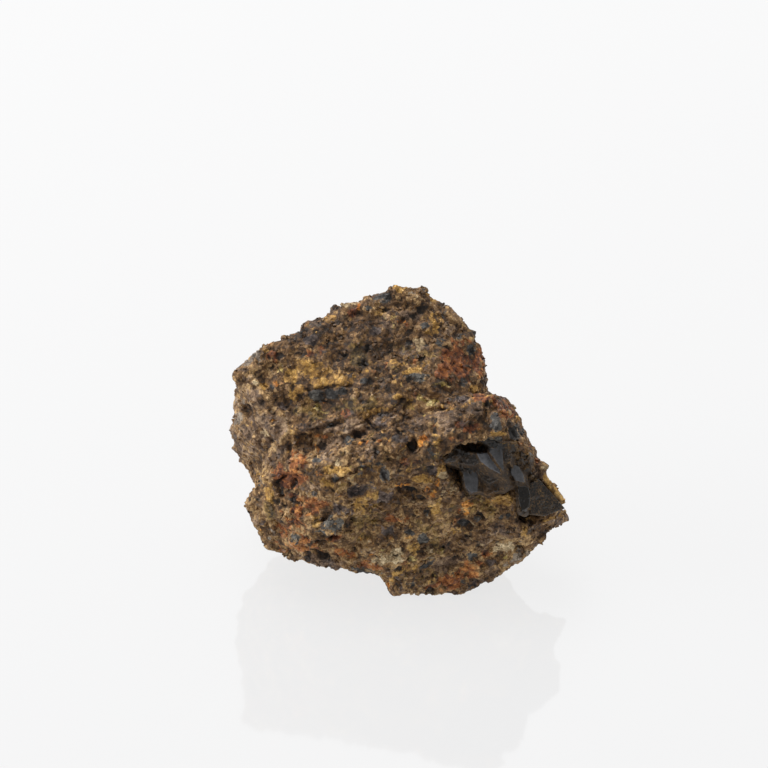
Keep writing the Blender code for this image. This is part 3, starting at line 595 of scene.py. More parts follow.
# Each kind of grain's marks, where they are seen in the picture: pixels to the right and down, half
# width, half height and turn in degrees. A sixth number is the strength, where it isn't 1.
MARKS = {
    "ochre": {
        "tan patch": (320, 372, 27, 11, 13),
        "tan patch left": (291, 376, 8, 12, -20),
        "tan patch low": (297, 392, 8, 10, 0),
        "tan patch right": (341, 379, 11, 7, 20),
        "left edge crystal": (264, 387, 5, 5, 0),
        "streak above the lens": (376, 411, 12, 3, -12),
        "gold spot": (397, 397, 5, 3, 0),
        "gold lump": (339, 471, 12, 5, 5),
        "gold lump low": (328, 484, 9, 4, 20),
        "left wall edge": (232, 393, 4, 7, 0),
        "left wall": (247, 423, 9, 5, 25),
        "left wall low": (249, 443, 6, 3, 20),
        "left wall foot": (260, 470, 8, 5, 40),
        "top edge": (400, 289, 8, 4, 20),
        "top edge right": (426, 292, 7, 4, 0),
        "top right": (435, 299, 7, 4, 40),
        "top left": (328, 318, 6, 4, 0),
        "top pink": (375, 314, 9, 4, -15),
        "upper right": (437, 319, 9, 7, -20),
        "upper right low": (432, 331, 8, 5, -20),
        "upper middle": (424, 362, 7, 5, -20),
        "upper middle left": (400, 362, 10, 4, 0),
        "upper middle low": (412, 371, 11, 3, -10),
        "shoulder foot": (475, 389, 8, 4, 0),
        "flesh crystal": (445, 406, 7, 3, 15),
        "shoulder bar": (499, 434, 9, 3, 0),
        "small gold": (437, 439, 4, 4, 0),
        "middle": (420, 479, 8, 4, -10),
        "middle right": (440, 470, 6, 5, 0),
        "front heart": (360, 506, 7, 9, 0),
        "front high": (372, 494, 7, 4, 0),
        "left flank": (268, 490, 5, 12, -10),
        "left flank low": (277, 539, 7, 3, 0),
        "tan lump": (316, 523, 4, 6, 0),
        "low middle": (432, 510, 10, 8, 0, 0.6),
        "low lump": (412, 547, 6, 10, -20),
        "low edge": (432, 582, 9, 4, 0, 0.7),
        "flesh low right": (525, 531, 5, 7, 0),
        "honey edge": (523, 559, 8, 3, -10),
        "below the hollow": (492, 500, 12, 5, 0),
        "below the hollow right": (507, 501, 5, 6, 0),
        "crystal rim": (556, 489, 20, 5, 47, 1.2),
        "crystal rim foot": (551, 519, 12, 2, -14),
    },
    "olive": {
        "left ridge": (281, 368, 4, 7, 0),
        "seam": (310, 412, 18, 8, 0, 0.6),
        "seam right": (352, 405, 24, 7, -5, 0.6),
        "shadow of the top": (355, 352, 8, 14, 0, 0.7),
        "front middle": (385, 455, 8, 8, 0, 0.7),
        "front heart": (358, 521, 7, 7, 0),
        "front flakes": (375, 518, 8, 5, 0),
        "low crystal": (435, 541, 5, 6, 0),
        "below the hollow": (485, 510, 18, 9, 0, 0.6),
        "left flank ridge": (270, 514, 5, 13, -20),
        "left flank high": (258, 488, 8, 9, 0, 0.7),
        "foot": (424, 580, 8, 4, 0, 0.6),
        "upper middle": (400, 352, 30, 14, 0, 0.45),
    },
    "rust": {
        "rust lump": (297, 461, 9, 13, 0),
        "left hollow": (290, 480, 16, 10, 0, 1.4),
        "left hollow edge": (276, 470, 6, 11, 20),
        "left front": (300, 505, 26, 15, 0, 0.8),
        "left front low": (292, 526, 16, 10, 20, 0.85),
        "left edge low": (284, 547, 7, 6, 0),
        "left foot": (302, 545, 34, 8, 14, 0.9),
        "foot": (436, 588, 14, 5, 0, 0.9),
        "low left": (345, 553, 14, 6, 10),
        "low left right": (370, 565, 14, 5, 10, 0.9),
        "red streak": (330, 540, 10, 3, -15),
        "low right": (462, 575, 26, 11, -30, 1.1),
        "low right red": (467, 563, 5, 6, 0),
        "low edge": (449, 578, 7, 5, 0),
        "low right high": (488, 556, 7, 4, 0),
        "low middle": (400, 515, 16, 10, 0, 0.6),
        "right face": (458, 362, 20, 20, 0, 0.5),
        "right edge": (480, 362, 6, 16, 5, 0.9),
        "right face low": (443, 370, 9, 7, 0),
        "shoulder top": (499, 399, 7, 6, 0),
        "shoulder": (505, 412, 10, 12, 0, 0.8),
        "shoulder left": (480, 398, 10, 4, 0),
        "ledge right": (470, 425, 13, 11, 0, 0.8),
        "ledge middle": (430, 424, 7, 3, 20, 0.8),
        "middle": (404, 463, 6, 5, 0, 0.8),
        "step shade": (346, 413, 6, 5, 0),
        "under the step": (322, 436, 10, 3, 0, 0.8),
        "top left": (352, 313, 5, 5, 0),
        "upper left": (315, 350, 12, 8, 0, 0.6),
        "upper left edge": (268, 352, 14, 7, -30, 0.4),
        "upper middle": (345, 340, 14, 6, 0, 0.5),
        "left wall": (243, 420, 8, 6, 20, 0.6),
        "right of the hollow": (520, 444, 12, 3, 10),
        "hollow shade": (455, 440, 8, 5, 0, 0.7),
        "beside the grain": (458, 516, 4, 9, 20),
    },
    "orange": {
        "orange crystal": (422, 441, 5, 8, 15),
        "bright crystal": (466, 507, 5, 8, 0),
        "bright crystal foot": (459, 515, 4, 4, 0),
        "upper spot": (402, 321, 4, 3, 0),
        "upper stem": (359, 307, 2, 5, 0),
        "right edge tooth": (482, 366, 4, 6, 0),
        "gold drop": (316, 449, 4, 6, -20),
        "gold stretch": (362, 444, 8, 4, -30),
        "middle": (431, 491, 8, 5, 40),
        "middle left": (401, 485, 9, 2, -3),
        "middle right": (437, 483, 3, 5, 0),
        "low lump": (409, 539, 5, 5, 30),
        "cluster dot": (331, 530, 4, 3, 0),
        "front dot": (296, 504, 3, 3, 0),
        "front heart": (359, 511, 4, 4, 0),
        "left flank": (261, 534, 4, 6, 0),
        "left low": (284, 546, 4, 4, 0),
        "shoulder glint": (509, 411, 3, 3, 30),
        "shoulder high": (497, 397, 3, 3, 0),
        "left wall dot": (273, 422, 3, 4, 0),
        "foot": (388, 586, 5, 4, 0),
        "low right": (490, 557, 4, 3, 0),
        "low right edge": (527, 544, 3, 4, 0),
        "below the hollow": (492, 499, 4, 3, 0),
    },
    "slate": {
        "strip left": (317, 395, 9, 6, 0, 1.3),
        "strip middle": (331, 394, 7, 5, 0, 1.3),
        "strip right": (345, 390, 9, 4, -15, 1.3),
        "tan patch spot": (312, 361, 5, 3, 10),
        "top facet": (384, 299, 9, 6, -10),
        "top middle": (367, 308, 6, 3, 0),
        "under the top": (425, 325, 8, 4, 0),
        "upper right": (440, 343, 6, 6, 30),
        "right high": (458, 336, 6, 4, 0),
        "right spots": (469, 349, 6, 6, 0, 0.9),
        "right spot": (464, 382, 4, 6, 0),
        "upper low": (418, 378, 14, 6, 0),
        "upper left low": (366, 381, 8, 4, 0),
        "left top": (270, 389, 4, 4, 40),
        "front spots": (349, 441, 5, 6, 40),
        "front eye": (316, 460, 5, 3, 0),
        "front grey": (335, 477, 4, 6, 0),
        "front lens": (385, 475, 5, 9, 0),
        "cluster": (333, 524, 14, 9, -25),
        "front low spots": (291, 503, 6, 5, 0),
        "front low grey": (312, 493, 6, 4, 0),
        "flake": (293, 539, 9, 6, 15),
        "left flank": (262, 485, 5, 8, 0, 0.9),
        "shoulder facet": (497, 421, 7, 10, 0),
        "shoulder dark": (517, 434, 7, 7, 0),
        "hollow top": (495, 439, 10, 3, 0),
        "middle spot": (426, 513, 4, 4, 0),
        "beside the grain": (463, 524, 8, 4, 20),
        "low middle": (423, 540, 6, 6, 0, 0.9),
        "low middle high": (410, 532, 6, 3, 0),
        "low right": (472, 557, 6, 5, 0),
        "low edge": (466, 583, 7, 5, 0, 0.9),
        "low seam": (427, 565, 8, 3, -20),
        "under edge": (366, 571, 15, 4, 15),
        "foot": (409, 581, 7, 7, 0),
        "smooth facet": (506, 520, 9, 7, 0, 0.75),
        "under the corner": (537, 527, 8, 5, -15),
        "teal grains": (480, 515, 8, 6, 0, 0.8),
        "left wall": (243, 437, 7, 4, 20, 0.8),
        "left wall high": (253, 405, 5, 5, 0, 0.8),
        "left wall edge": (228, 392, 3, 7, 0),
    },
    "plum": {
        "lens": (384, 421, 17, 6, -12),
        "upper left": (311, 340, 10, 6, 0),
        "left high": (283, 406, 9, 5, 0),
        "middle": (433, 470, 6, 6, 0),
        "middle left": (400, 437, 10, 6, 0, 0.7),
        "front eye": (357, 492, 9, 5, 0),
        "front right": (386, 498, 9, 6, 0),
        "front low": (388, 530, 14, 8, 0, 0.7),
        "low hollow": (313, 554, 10, 5, 10, 0.5),
        "low right": (490, 563, 5, 4, 0),
        "low edge": (470, 585, 14, 4, -25, 0.8),
        "shoulder left": (461, 399, 10, 5, 0),
        "left flank": (262, 521, 4, 6, 0),
        "upper middle": (376, 332, 8, 5, 0),
        "front grey": (340, 512, 14, 8, 0, 0.6),
    },
    "mauve": {
        "left shoulder": (252, 370, 16, 14, 0, 0.9),
        "left wall": (248, 420, 22, 48, 0),
        "left ridge": (276, 440, 10, 40, 15, 0.8),
        "left flank": (256, 512, 9, 22, 0),
        "ledge": (418, 422, 40, 11, -6, 0.8),
        "ledge left": (356, 427, 12, 9, 0),
        "ledge right": (476, 411, 10, 7, 0, 0.9),
        "front high": (345, 450, 34, 14, 0, 0.6),
        "front middle": (312, 490, 20, 10, 0, 0.6),
        "top right bump": (452, 313, 6, 12, -30),
        "right top": (447, 328, 7, 6, 0),
        "low right": (508, 530, 28, 12, -15, 0.7),
        "low middle": (450, 566, 16, 9, 0, 0.9),
        "low left edge": (315, 562, 22, 5, 12),
        "low left flake": (306, 547, 11, 3, -5),
        "low right edge": (492, 572, 9, 6, -30),
        "right of the corner": (540, 474, 8, 8, 0),
        "flange": (560, 521, 14, 4, -5, 1.1),
        "top": (412, 314, 10, 6, 0, 0.8),
        "seam": (335, 425, 16, 7, -20, 0.7),
    },
    "pale": {
        "left wall facet": (263, 432, 8, 4, 20),
        "left edge high": (259, 388, 4, 14, -38, 0.8),
        "left edge": (279, 412, 3, 15, -35, 0.8),
        "left edge low": (278, 444, 4, 14, 35, 0.8),
        "left wall top": (240, 382, 7, 4, 35),
        "front left": (340, 460, 14, 6, 0, 0.7),
        "ledge lump": (358, 424, 8, 6, 0, 0.8),
        "top right": (418, 297, 7, 4, 0),
        "top left": (348, 305, 7, 3, 0),
        "upper right": (419, 345, 7, 9, -20),
        "lilac chip": (334, 366, 3, 3, 0),
        "low patch": (392, 556, 13, 8, 0),
        "low patch left": (378, 563, 8, 4, 0),
        "low right patch": (505, 545, 11, 11, 0),
        "low left facet": (306, 547, 10, 2, -5),
        "beside the hollow": (443, 475, 5, 5, 0),
        "hollow foot": (455, 490, 6, 4, 0, 0.8),
        "foot": (430, 593, 12, 3, 0, 0.8),
        "under edge": (366, 570, 8, 1.5, 15),
        "left flank": (254, 508, 5, 6, 0),
        "right of the corner": (544, 466, 5, 5, 0),
        "rim edge": (548, 495, 14, 1.5, 47),
        "hollow dot": (532, 504, 3, 2, 0),
    },
    "straw": {
        "step clay": (433, 403, 10, 6, 0),
        "step clay left": (424, 397, 8, 5, 0, 0.8),
        "step line": (428, 413, 8, 2, -15),
        "seam left": (318, 407, 8, 4, 20),
        "seam": (324, 411, 6, 3, 0),
        "seam foot": (303, 417, 8, 4, 0, 0.8),
        "left ridge": (280, 371, 4, 4, 0),
        "upper right": (408, 352, 10, 3, 10, 0.8),
        "right foot": (446, 385, 8, 3, 10, 0.8),
        "low crystal": (440, 552, 5, 4, 0),
        "low edge": (413, 559, 5, 3, 0),
        "front": (384, 457, 5, 4, 0, 0.8),
        "front flakes": (375, 518, 6, 3, 30, 0.8),
        "low right": (505, 556, 9, 3, 10, 0.8),
        "low patch": (384, 552, 7, 4, 0, 0.8),
        "below the hollow": (481, 503, 4, 6, 20, 0.8),
    },
    # Pale grey along the edges: painted sheen, a painted reflection of the white tent at grazing angles
    "grey_grains_and_painted_sheen": {
        "left shoulder": (250, 362, 16, 12, -30, 1.1),
        "left wall": (238, 410, 10, 32, 0, 1.2),
        "left wall foot": (256, 462, 10, 12, 20, 0.9),
        "left flank": (252, 500, 8, 18, -15, 1.1),
        "left flank foot": (268, 534, 7, 14, -35, 0.8),
        "top edge": (345, 303, 40, 5, -22, 0.6),
        "top": (416, 294, 14, 6, 0, 0.8),
        "low right face": (521, 554, 12, 7, -30, 1.0),
        "top right": (452, 308, 14, 14, 0, 0.8),
        "low right": (530, 535, 18, 9, -30, 0.7),
        "flange": (562, 520, 12, 4, 0, 0.9),
        "low right edge": (495, 572, 16, 5, -30, 0.8),
    },
    "umber": {
        "upper middle": (385, 347, 22, 14, 0, 0.8),
        "upper left": (338, 352, 16, 10, 0, 0.7),
        "under the top": (345, 330, 26, 8, -20, 0.6),
        "left top": (290, 345, 14, 8, 0, 0.6),
        "seam right": (440, 393, 24, 5, -5, 0.7),
        "middle": (452, 448, 14, 8, 0, 0.7),
        "front low": (395, 505, 14, 10, 0, 0.6),
        "right band": (525, 452, 9, 12, -20),
        "under the corner": (540, 518, 14, 5, -10, 0.8),
        "low": (455, 545, 20, 8, 0, 0.6),
    },
    # Black in holes, cracks and under ledges is painted shade; the rest are black grains
    "black": {
        "beside the orange crystal": (414, 445, 3, 6, 10),
        "high hollow": (407, 491, 9, 4, 5),
        "middle hollow": (418, 498, 7, 3, 10),
        "by the hollow": (459, 437, 3, 3, 0),
        "left wall hole": (247, 411, 4, 5, -30),
        "left crack": (277, 483, 4, 3, -20),
        "left crack low": (281, 492, 2, 5, 0),
        "hollow drop": (293, 484, 3, 4, 0, 0.8),
        "front spot": (326, 494, 8, 4, 0, 0.9),
        "front spot low": (306, 511, 4, 3, 0),
        "cluster shade": (323, 519, 6, 2, -30),
        "cluster shade right": (348, 524, 6, 8, 0, 0.9),
        "low crack": (313, 552, 8, 2, 12),
        "low ring": (326, 556, 3, 3, 0, 0.9),
        "top shade": (396, 296, 7, 3, 35),
        "top right shade": (443, 315, 2, 8, -25),
        "bump shade": (453, 324, 5, 2, 0),
        "lens shade": (384, 428, 12, 1.5, -12),
        "step shade": (330, 426, 9, 2, -20),
        "under the grain": (470, 529, 3, 3, 0),
        "low middle": (404, 543, 2, 5, 0, 0.9),
        "low edge": (421, 589, 4, 2, 0),
        "foot": (410, 595, 4, 3, 0, 0.9),
        "crystal foot": (525, 513, 4, 3, 0),
        "red shade": (477, 550, 5, 3, 0, 0.9),
        "red shade low": (455, 577, 6, 3, -40, 0.9),
        "hollow side": (450, 466, 3, 9, 0, 0.9),
        "split": (350, 474, 11, 2, -24),
        "upper crack": (400, 333, 5, 2, 30, 0.8),
        "upper shade": (371, 366, 8, 2, 20, 0.8),
        "shoulder shade": (486, 412, 2, 6, 0, 0.9),
    },
}

# Painted light and shade: areas painted lighter or darker by so much, where 0.1 makes a colour about 1.4
# times as light. Fronts, edges and feet are painted lighter; the top, ledges and shaded hollows darker.
PAINTED_LIGHT = {
    "front": (340, 470, 62, 42, 0, 0.07),
    "lower front": (425, 530, 110, 44, 0, 0.11),
    "low patch": (398, 557, 18, 13, 0, 0.15),
    "low right patch": (510, 545, 20, 15, 0, 0.15),
    "low left": (312, 522, 34, 26, 0, 0.05),
    "low left edge": (256, 520, 14, 34, 0, 0.05),
    "red foot": (468, 572, 32, 14, -30, 0.05),
    "left wall": (246, 430, 20, 52, 0, 0.12),
    "left flank": (262, 515, 18, 38, 0, 0.11),
    "seam": (352, 410, 44, 9, 0, -0.12),
    "upper middle": (364, 343, 52, 28, 0, -0.15),
    "top": (345, 311, 42, 14, -22, -0.07),
    "top right": (430, 318, 12, 9, 0, -0.09),
    "right face low": (441, 370, 12, 10, 0, -0.09),
    "ledge": (374, 426, 46, 13, -5, -0.11),
    "ledge right": (450, 425, 34, 12, 0, -0.06),
    "shade beside the hollow": (450, 466, 10, 20, 0, -0.06),
    "shoulder": (500, 412, 16, 18, 0, -0.17),
    "shoulder left": (470, 398, 15, 8, 0, -0.10),
    "foot": (410, 582, 30, 16, 0, 0.05),
    "crystal rim": (556, 489, 20, 5, 47, 0.16),
    "flange": (560, 521, 14, 4, -5, 0.06),
    "right face": (458, 362, 22, 22, 0, -0.06),
    "below the hollow": (485, 505, 32, 12, 0, 0.04),
    "left foot": (303, 547, 40, 14, 14, 0.17),
    "left shoulder": (254, 364, 20, 16, -30, 0.06),
    "right of the tan patch": (362, 376, 14, 11, 0, -0.20),
    "upper left": (302, 343, 16, 12, -20, -0.18),
    "rust lump": (302, 459, 9, 12, 0, -0.13),
    "front heart": (361, 481, 14, 11, 0, 0.13),
    "front heart low": (355, 508, 11, 11, 0, 0.09),
    "left hollow edge": (281, 468, 10, 11, 0, -0.08),
    "front top": (388, 443, 16, 9, 0, -0.10),
    "upper low": (396, 380, 18, 8, 0, -0.09),
    "step clay": (436, 401, 13, 7, 0, 0.16),
    "foot right": (433, 590, 14, 6, 0, 0.12),
    "low patch left": (383, 569, 13, 7, 0, 0.08),
    "low right face": (521, 554, 13, 8, -30, 0.08),
    "under the step": (321, 444, 12, 8, 0, 0.09),
    "crystal foot": (525, 523, 12, 6, -10, 0.10),
    "low right edge": (492, 573, 16, 8, -30, 0.07),
}

# Forms of the surface, raised or sunk by so many millimetres in the middle
FORMS = {
    "hole by the orange crystal": (413, 445, 4, 7, 10, -0.8),
    "orange crystal": (422, 441, 5, 7, 15, 0.25),
    "high hollow": (407, 491, 9, 4, 5, -0.6),
    "middle hollow": (418, 498, 7, 3, 10, -0.5),
    "left wall hole": (246, 411, 5, 6, -30, -0.9),
    "left hollow": (288, 481, 14, 7, 0, -0.4),
    "rust lump": (297, 460, 8, 12, 0, 0.45),
    "left ridge groove": (289, 452, 3, 12, 0, -0.5),
    "gold lump": (339, 471, 11, 5, 5, 0.35),
    "ledge lump": (357, 425, 9, 7, 0, 0.4),
    "lens": (384, 421, 16, 5, -12, 0.25),
    "cluster": (333, 524, 13, 8, -25, 0.3),
    "cluster shade": (323, 519, 6, 2, -30, -0.5),
    "cluster side": (350, 522, 5, 8, 0, -0.5),
    "flake": (293, 539, 9, 6, 15, 0.3),
    "low hollow": (313, 555, 9, 3, 10, -0.4),
    "low ring": (326, 557, 3, 3, 0, -0.4),
    "bump": (452, 313, 6, 11, -30, 0.35),
    "front lens": (385, 475, 6, 9, 0, 0.2),
    "front eye": (357, 492, 9, 5, 0, -0.35),
    "crystal foot": (525, 514, 4, 3, 0, -0.6),
    "hollow drop": (293, 484, 3, 4, 0, -0.5),
    "shoulder facet": (497, 421, 7, 9, 0, 0.2),
    "bright crystal": (465, 508, 5, 8, 0, 0.25),
    "under the grain": (464, 525, 8, 4, 20, -0.35),
    "low lump": (410, 543, 6, 9, -20, 0.3),
    "by the hollow": (459, 437, 3, 3, 0, -0.5),
}

# Ridges and cracks: half width in pixels, height in millimetres and the points that they pass
LINES = {
    "left edge": (
        3.5, 0.5, (252, 378), (262, 390), (272, 404), (282, 416), (288, 430), (283, 441), (273, 450),
        (267, 465), (264, 480),
    ),
    "left flank edge": (2.5, 0.3, (264, 500), (267, 514), (272, 526), (276, 536)),
    "under the step": (2.6, -0.45, (318, 431), (328, 426), (341, 421)),
    "under the lens": (1.8, -0.4, (366, 421), (378, 429), (390, 426), (404, 419)),
    "seam": (2.0, -0.4, (404, 419), (416, 417), (430, 418)),
    "split": (1.6, -0.45, (337, 481), (346, 476), (360, 470)),
    "left crack": (2.0, -0.5, (283, 477), (275, 484), (281, 496)),
    "tan patch foot": (1.8, -0.35, (305, 390), (322, 388), (351, 385)),
    "behind the bump": (1.6, -0.4, (440, 306), (446, 320), (456, 325)),
    "upper shade": (1.8, -0.35, (362, 364), (370, 364), (380, 370)),
    "low crack": (1.6, -0.45, (300, 547), (312, 551), (324, 555)),
    "red streak": (1.4, -0.35, (317, 544), (328, 540), (339, 537)),
    "shoulder side": (1.6, -0.35, (486, 404), (486, 420), (490, 430)),
    "clay foot": (1.6, -0.3, (420, 412), (432, 410), (444, 409)),
}

# Where the surface is smoother than elsewhere
CALM = {
    "tan patch": (318, 373, 30, 12, 12),
    "lens": (384, 421, 16, 5, -12),
    "bump": (452, 313, 6, 11, -30),
    "upper middle": (387, 348, 14, 11, 0),
    "left edge": (280, 425, 6, 30, 0),
    "left flank": (269, 510, 5, 22, -15),
    "left wall": (246, 425, 18, 40, 0),
    "flake": (293, 539, 10, 7, 15),
    "flange": (560, 521, 14, 5, -5),
    "crystal rim": (554, 492, 20, 6, 47),
    "shoulder facet": (497, 421, 8, 10, 0),
    "smooth facet": (506, 520, 9, 7, 0),
}


# Where a mark begins and ends to fade, as shares of the way from its middle to its edge
MARK_FADE = (0.55, 1.45)


def mark(right, down, where):
    """1 in the middle of an ellipse of the picture, 0.5 on its edge and 0 half as far out again."""
    middle_right, middle_down, half_width, half_height, turn = where[:5]
    angle = math.radians(turn)
    across, along = right - middle_right, down - middle_down
    width = (across * math.cos(angle) + along * math.sin(angle)) / half_width
    height = (along * math.cos(angle) - across * math.sin(angle)) / half_height
    return 1.0 - smoothstep(*MARK_FADE, np.sqrt(width**2 + height**2))


def beside(right, down, line):
    """How many pixels places lie from the nearest of a line's straight stretches."""
    nearest = np.full(len(right), PICTURE)
    for (start_right, start_down), (end_right, end_down) in zip(line[:-1], line[1:]):
        along, below = end_right - start_right, end_down - start_down
        share = ((right - start_right) * along + (down - start_down) * below) / (along**2 + below**2)
        share = np.clip(share, 0.0, 1.0)
        away = np.hypot(right - start_right - share * along, down - start_down - share * below)
        nearest = np.minimum(nearest, away)
    return nearest


# The rock

# The squares that the skin is first made of, the longest edges in front and behind that stay whole,
# how often the others are halved, and how far and how often corners wear towards their neighbours
ROCK_VOXEL = 0.50 * MM
FRONT_EDGE, BACK_EDGE = 0.26 * MM, 0.62 * MM
EDGE_SPLITS = 2
WEAR_SHARE, WEAR_ROUNDS = 0.5, 2

# Relief in millimetres: the width of each kind of grain, how far it stands out, how steep its facet
# is, the share of such grains that have fallen out and left a pit, the pit's depth, and a salt
RELIEF = {
    "lumps": (2.1, 0.24, 0.38, 0.0, 0.0, 31),
    "grains": (1.05, 0.13, 0.26, 0.04, 0.32, 41),
    "crumbs": (0.5, 0.06, 0.14, 0.05, 0.14, 51),
}
# How wide and how high the unevenness between the grains is, and how wide and how far grains bend
ROUGH_WIDTH, ROUGH_HEIGHT = 1.1, 0.10
CURVE_WIDTH, CURVE = 1.7, 0.35
# A grain's edge is this wide and this much lower, both as shares of its width and its step
EDGE_WIDTH, EDGE_DROP = 0.16, 0.35
# How dark a pit is painted: painted shade
PIT_SHADE = 0.8
# How much of the relief is gone where the surface is calm, and the height that counts as 1
CALM_SHARE, FULL_HEIGHT = 0.65, 0.35
# How far to the side a surface starts and stops to count as front: for its edges' lengths and for
# the marks, as the cosine of the angle between its normal and the way to the camera
FINE_FRONT, MARKED_FRONT = (-0.15, 0.05), (-0.1, 0.25)
# Where a line begins and ends to fade, as shares of its half width
LINE_FADE = (0.2, 1.6)

# Grains are flatter across the rock's layers, which rise to the right as the step does
LAYER_NORMAL = np.array([-0.33, -0.25, 0.91]) / math.sqrt(0.33**2 + 0.25**2 + 0.91**2)
LAYER_TURN = Vector(LAYER_NORMAL).to_track_quat("Z", "Y").to_euler()
LAYER_SQUEEZE = 1.1

# How much of a mark's strength every other kind of grain loses there, and how much each kind comes
# and goes over areas of so many millimetres
CLAIM = 0.55
DRIFT, DRIFT_WIDTH = 0.32, 5.0
# How much lighter and darker the sides that the camera doesn't see are, over so many millimetres
HIDDEN_LIGHT, HIDDEN_WIDTH = 0.12, 6.5
# The salts of the unevenness, the bends, the coming and going of kinds, and the hidden sides' light
ROUGH_SALT, CURVE_SALT, DRIFT_SALT, HIDDEN_SALT = 5, 61, 401, 461


def relief(points):
    """How far the broken surface stands out in millimetres, and how sunk it is from 0 to 1.

    The points are given in millimetres too. Each size of grain adds a step up or down of its own
    and a facet tilted its own way. Some grains have fallen out.
    """
    layered = points + (points @ LAYER_NORMAL)[:, None] * LAYER_NORMAL * (LAYER_SQUEEZE - 1.0)
    curved = [rough_noise(points / CURVE_WIDTH, CURVE_SALT + axis, 2) for axis in range(3)]
    layered = layered + CURVE * np.stack(curved, axis=1)
    height = ROUGH_HEIGHT * rough_noise(points / ROUGH_WIDTH, ROUGH_SALT, 4)
    sunk = np.zeros(len(points))
    for span, step, steep, lost, depth, salt in RELIEF.values():
        gap, away, cube = grains(layered / span, salt)
        height += step * own_steps(cube, salt) + steep * own_facets(away, cube, salt)
        inner = smoothstep(0.0, EDGE_WIDTH, gap)
        height -= EDGE_DROP * step * (1.0 - inner)
        pit = inner * (scrambled(cube, salt + LOST_SALT) < lost)
        height -= depth * pit
        sunk = np.maximum(sunk, PIT_SHADE * pit)
    return height, sunk


def facing_camera(points, normal):
    """The cosine of the angle between each point's normal and the way to the camera."""
    sight = EYE - points
    return (normal * sight).sum(axis=1) / np.sqrt((sight**2).sum(axis=1))


def rock():
    """The stone's skin: the CAD solid remade fine, its corners worn, its surface broken up.

    Relief, forms, ridges and cracks add up to a height, and each point moves that far along its normal.
    Gives the points and triangles, and what the material reads: the marks, how high and how sunk each
    point is, and the painted light and shade on the front, with random tone on the hidden sides.
    """
    points, triangles = even_skin(solid_of("matrix"), ROCK_VOXEL)
    points = relaxed(points, triangles, WEAR_SHARE, WEAR_ROUNDS)
    for _ in range(EDGE_SPLITS):
        front = smoothstep(*FINE_FRONT, facing_camera(points, outward(points, triangles)))
        points, triangles = split_long(points, triangles, BACK_EDGE + (FRONT_EDGE - BACK_EDGE) * front)
    normal = outward(points, triangles)
    right, down = seen(points)
    front = smoothstep(*MARKED_FRONT, facing_camera(points, normal))
    height, sunk = relief(points / MM)
    calm = np.max([mark(right, down, where) for where in CALM.values()], axis=0)
    height *= 1.0 - CALM_SHARE * calm
    sunk *= 1.0 - calm
    for where in FORMS.values():
        height += where[5] * mark(right, down, where) * front
    for half_width, rise, *line in LINES.values():
        beyond = beside(right, down, line) / half_width
        height += rise * (1.0 - smoothstep(*LINE_FADE, beyond)) * front
    points = points + normal * (height * MM)[:, None]
    points[:, 2] = np.maximum(points[:, 2], 0.0)
    # The painted light and shade of the marked areas; the hidden sides get random tone instead
    painted_light_and_tone = np.sum([where[5] * mark(right, down, where) for where in PAINTED_LIGHT.values()], axis=0)
    hidden = HIDDEN_LIGHT * rough_noise(points / MM / HIDDEN_WIDTH, HIDDEN_SALT, 2)
    looks = {"high": height / FULL_HEIGHT, "sunk": sunk, "painted_light_and_tone": painted_light_and_tone * front + hidden * (1.0 - front)}
    amounts = np.array([
        np.max([mark(right, down, where) * (where[5:] or (1.0,))[0] for where in marks.values()], axis=0)
        for marks in MARKS.values()
    ])
    for number, kind in enumerate(MARKS):
        others = np.delete(amounts, number, axis=0).max(axis=0)
        drift = DRIFT * rough_noise(points / MM / DRIFT_WIDTH, DRIFT_SALT + 10 * number, 2)
        looks[kind] = (amounts[number] - CLAIM * others) * front + drift * (1.0 - others * front)
    return points, triangles, looks


# The small crystals on the rock

WEDGE_SIDES = 5
WEDGE_COUNT = 2600
WEDGE_SIZES = (0.18, 0.42)
# A wedge's rings, as shares of its size: radius, how far out, and how much one side rises
WEDGE_RINGS = ((0.6, -1.0, 0.0), (1.0, 0.0, 0.0), (0.72, 0.75, 0.3))
# How far a wedge leans, what its three sides measure at least and how much more at most, as shares
# of its size, and how much it is flattened towards the rock
WEDGE_LEAN = 0.7
WEDGE_LEAST, WEDGE_MORE = 0.6, 0.8
WEDGE_FLAT = 0.75
# The salts of the points that wedges stand on and of their sizes and directions
HOST_SALT, WEDGE_SALT = 201, 202


def wedge():
    """One small crystal's corners and triangles: rings of corners, closed by a fan at either end."""
    turn = np.arange(WEDGE_SIDES) * 2 * math.pi / WEDGE_SIDES
    around = np.stack([np.cos(turn), np.sin(turn)], axis=1)
    rings = [
        np.column_stack([around * radius, level + slant * around[:, 0]])
        for radius, level, slant in WEDGE_RINGS
    ]
    ends = np.array([[0.0, 0.0, WEDGE_RINGS[0][1]], [0.0, 0.0, WEDGE_RINGS[-1][1]]])
    low = np.arange(WEDGE_SIDES)
    after = (low + 1) % WEDGE_SIDES
    foot = np.full(WEDGE_SIDES, len(rings) * WEDGE_SIDES)
    faces = [np.stack([after, low, foot], axis=1)]
    for _ in rings[1:]:
        high = low + WEDGE_SIDES
        faces.append(np.stack([low, after, high], axis=1))
        faces.append(np.stack([after, after + WEDGE_SIDES, high], axis=1))
        low = high
        after = after + WEDGE_SIDES
    faces.append(np.stack([low, after, foot + 1], axis=1))
    return np.concatenate(rings + [ends]), np.concatenate(faces)


def unit(ways):
    """Each row made one unit long."""
    return ways / np.sqrt((ways**2).sum(axis=1))[:, None]


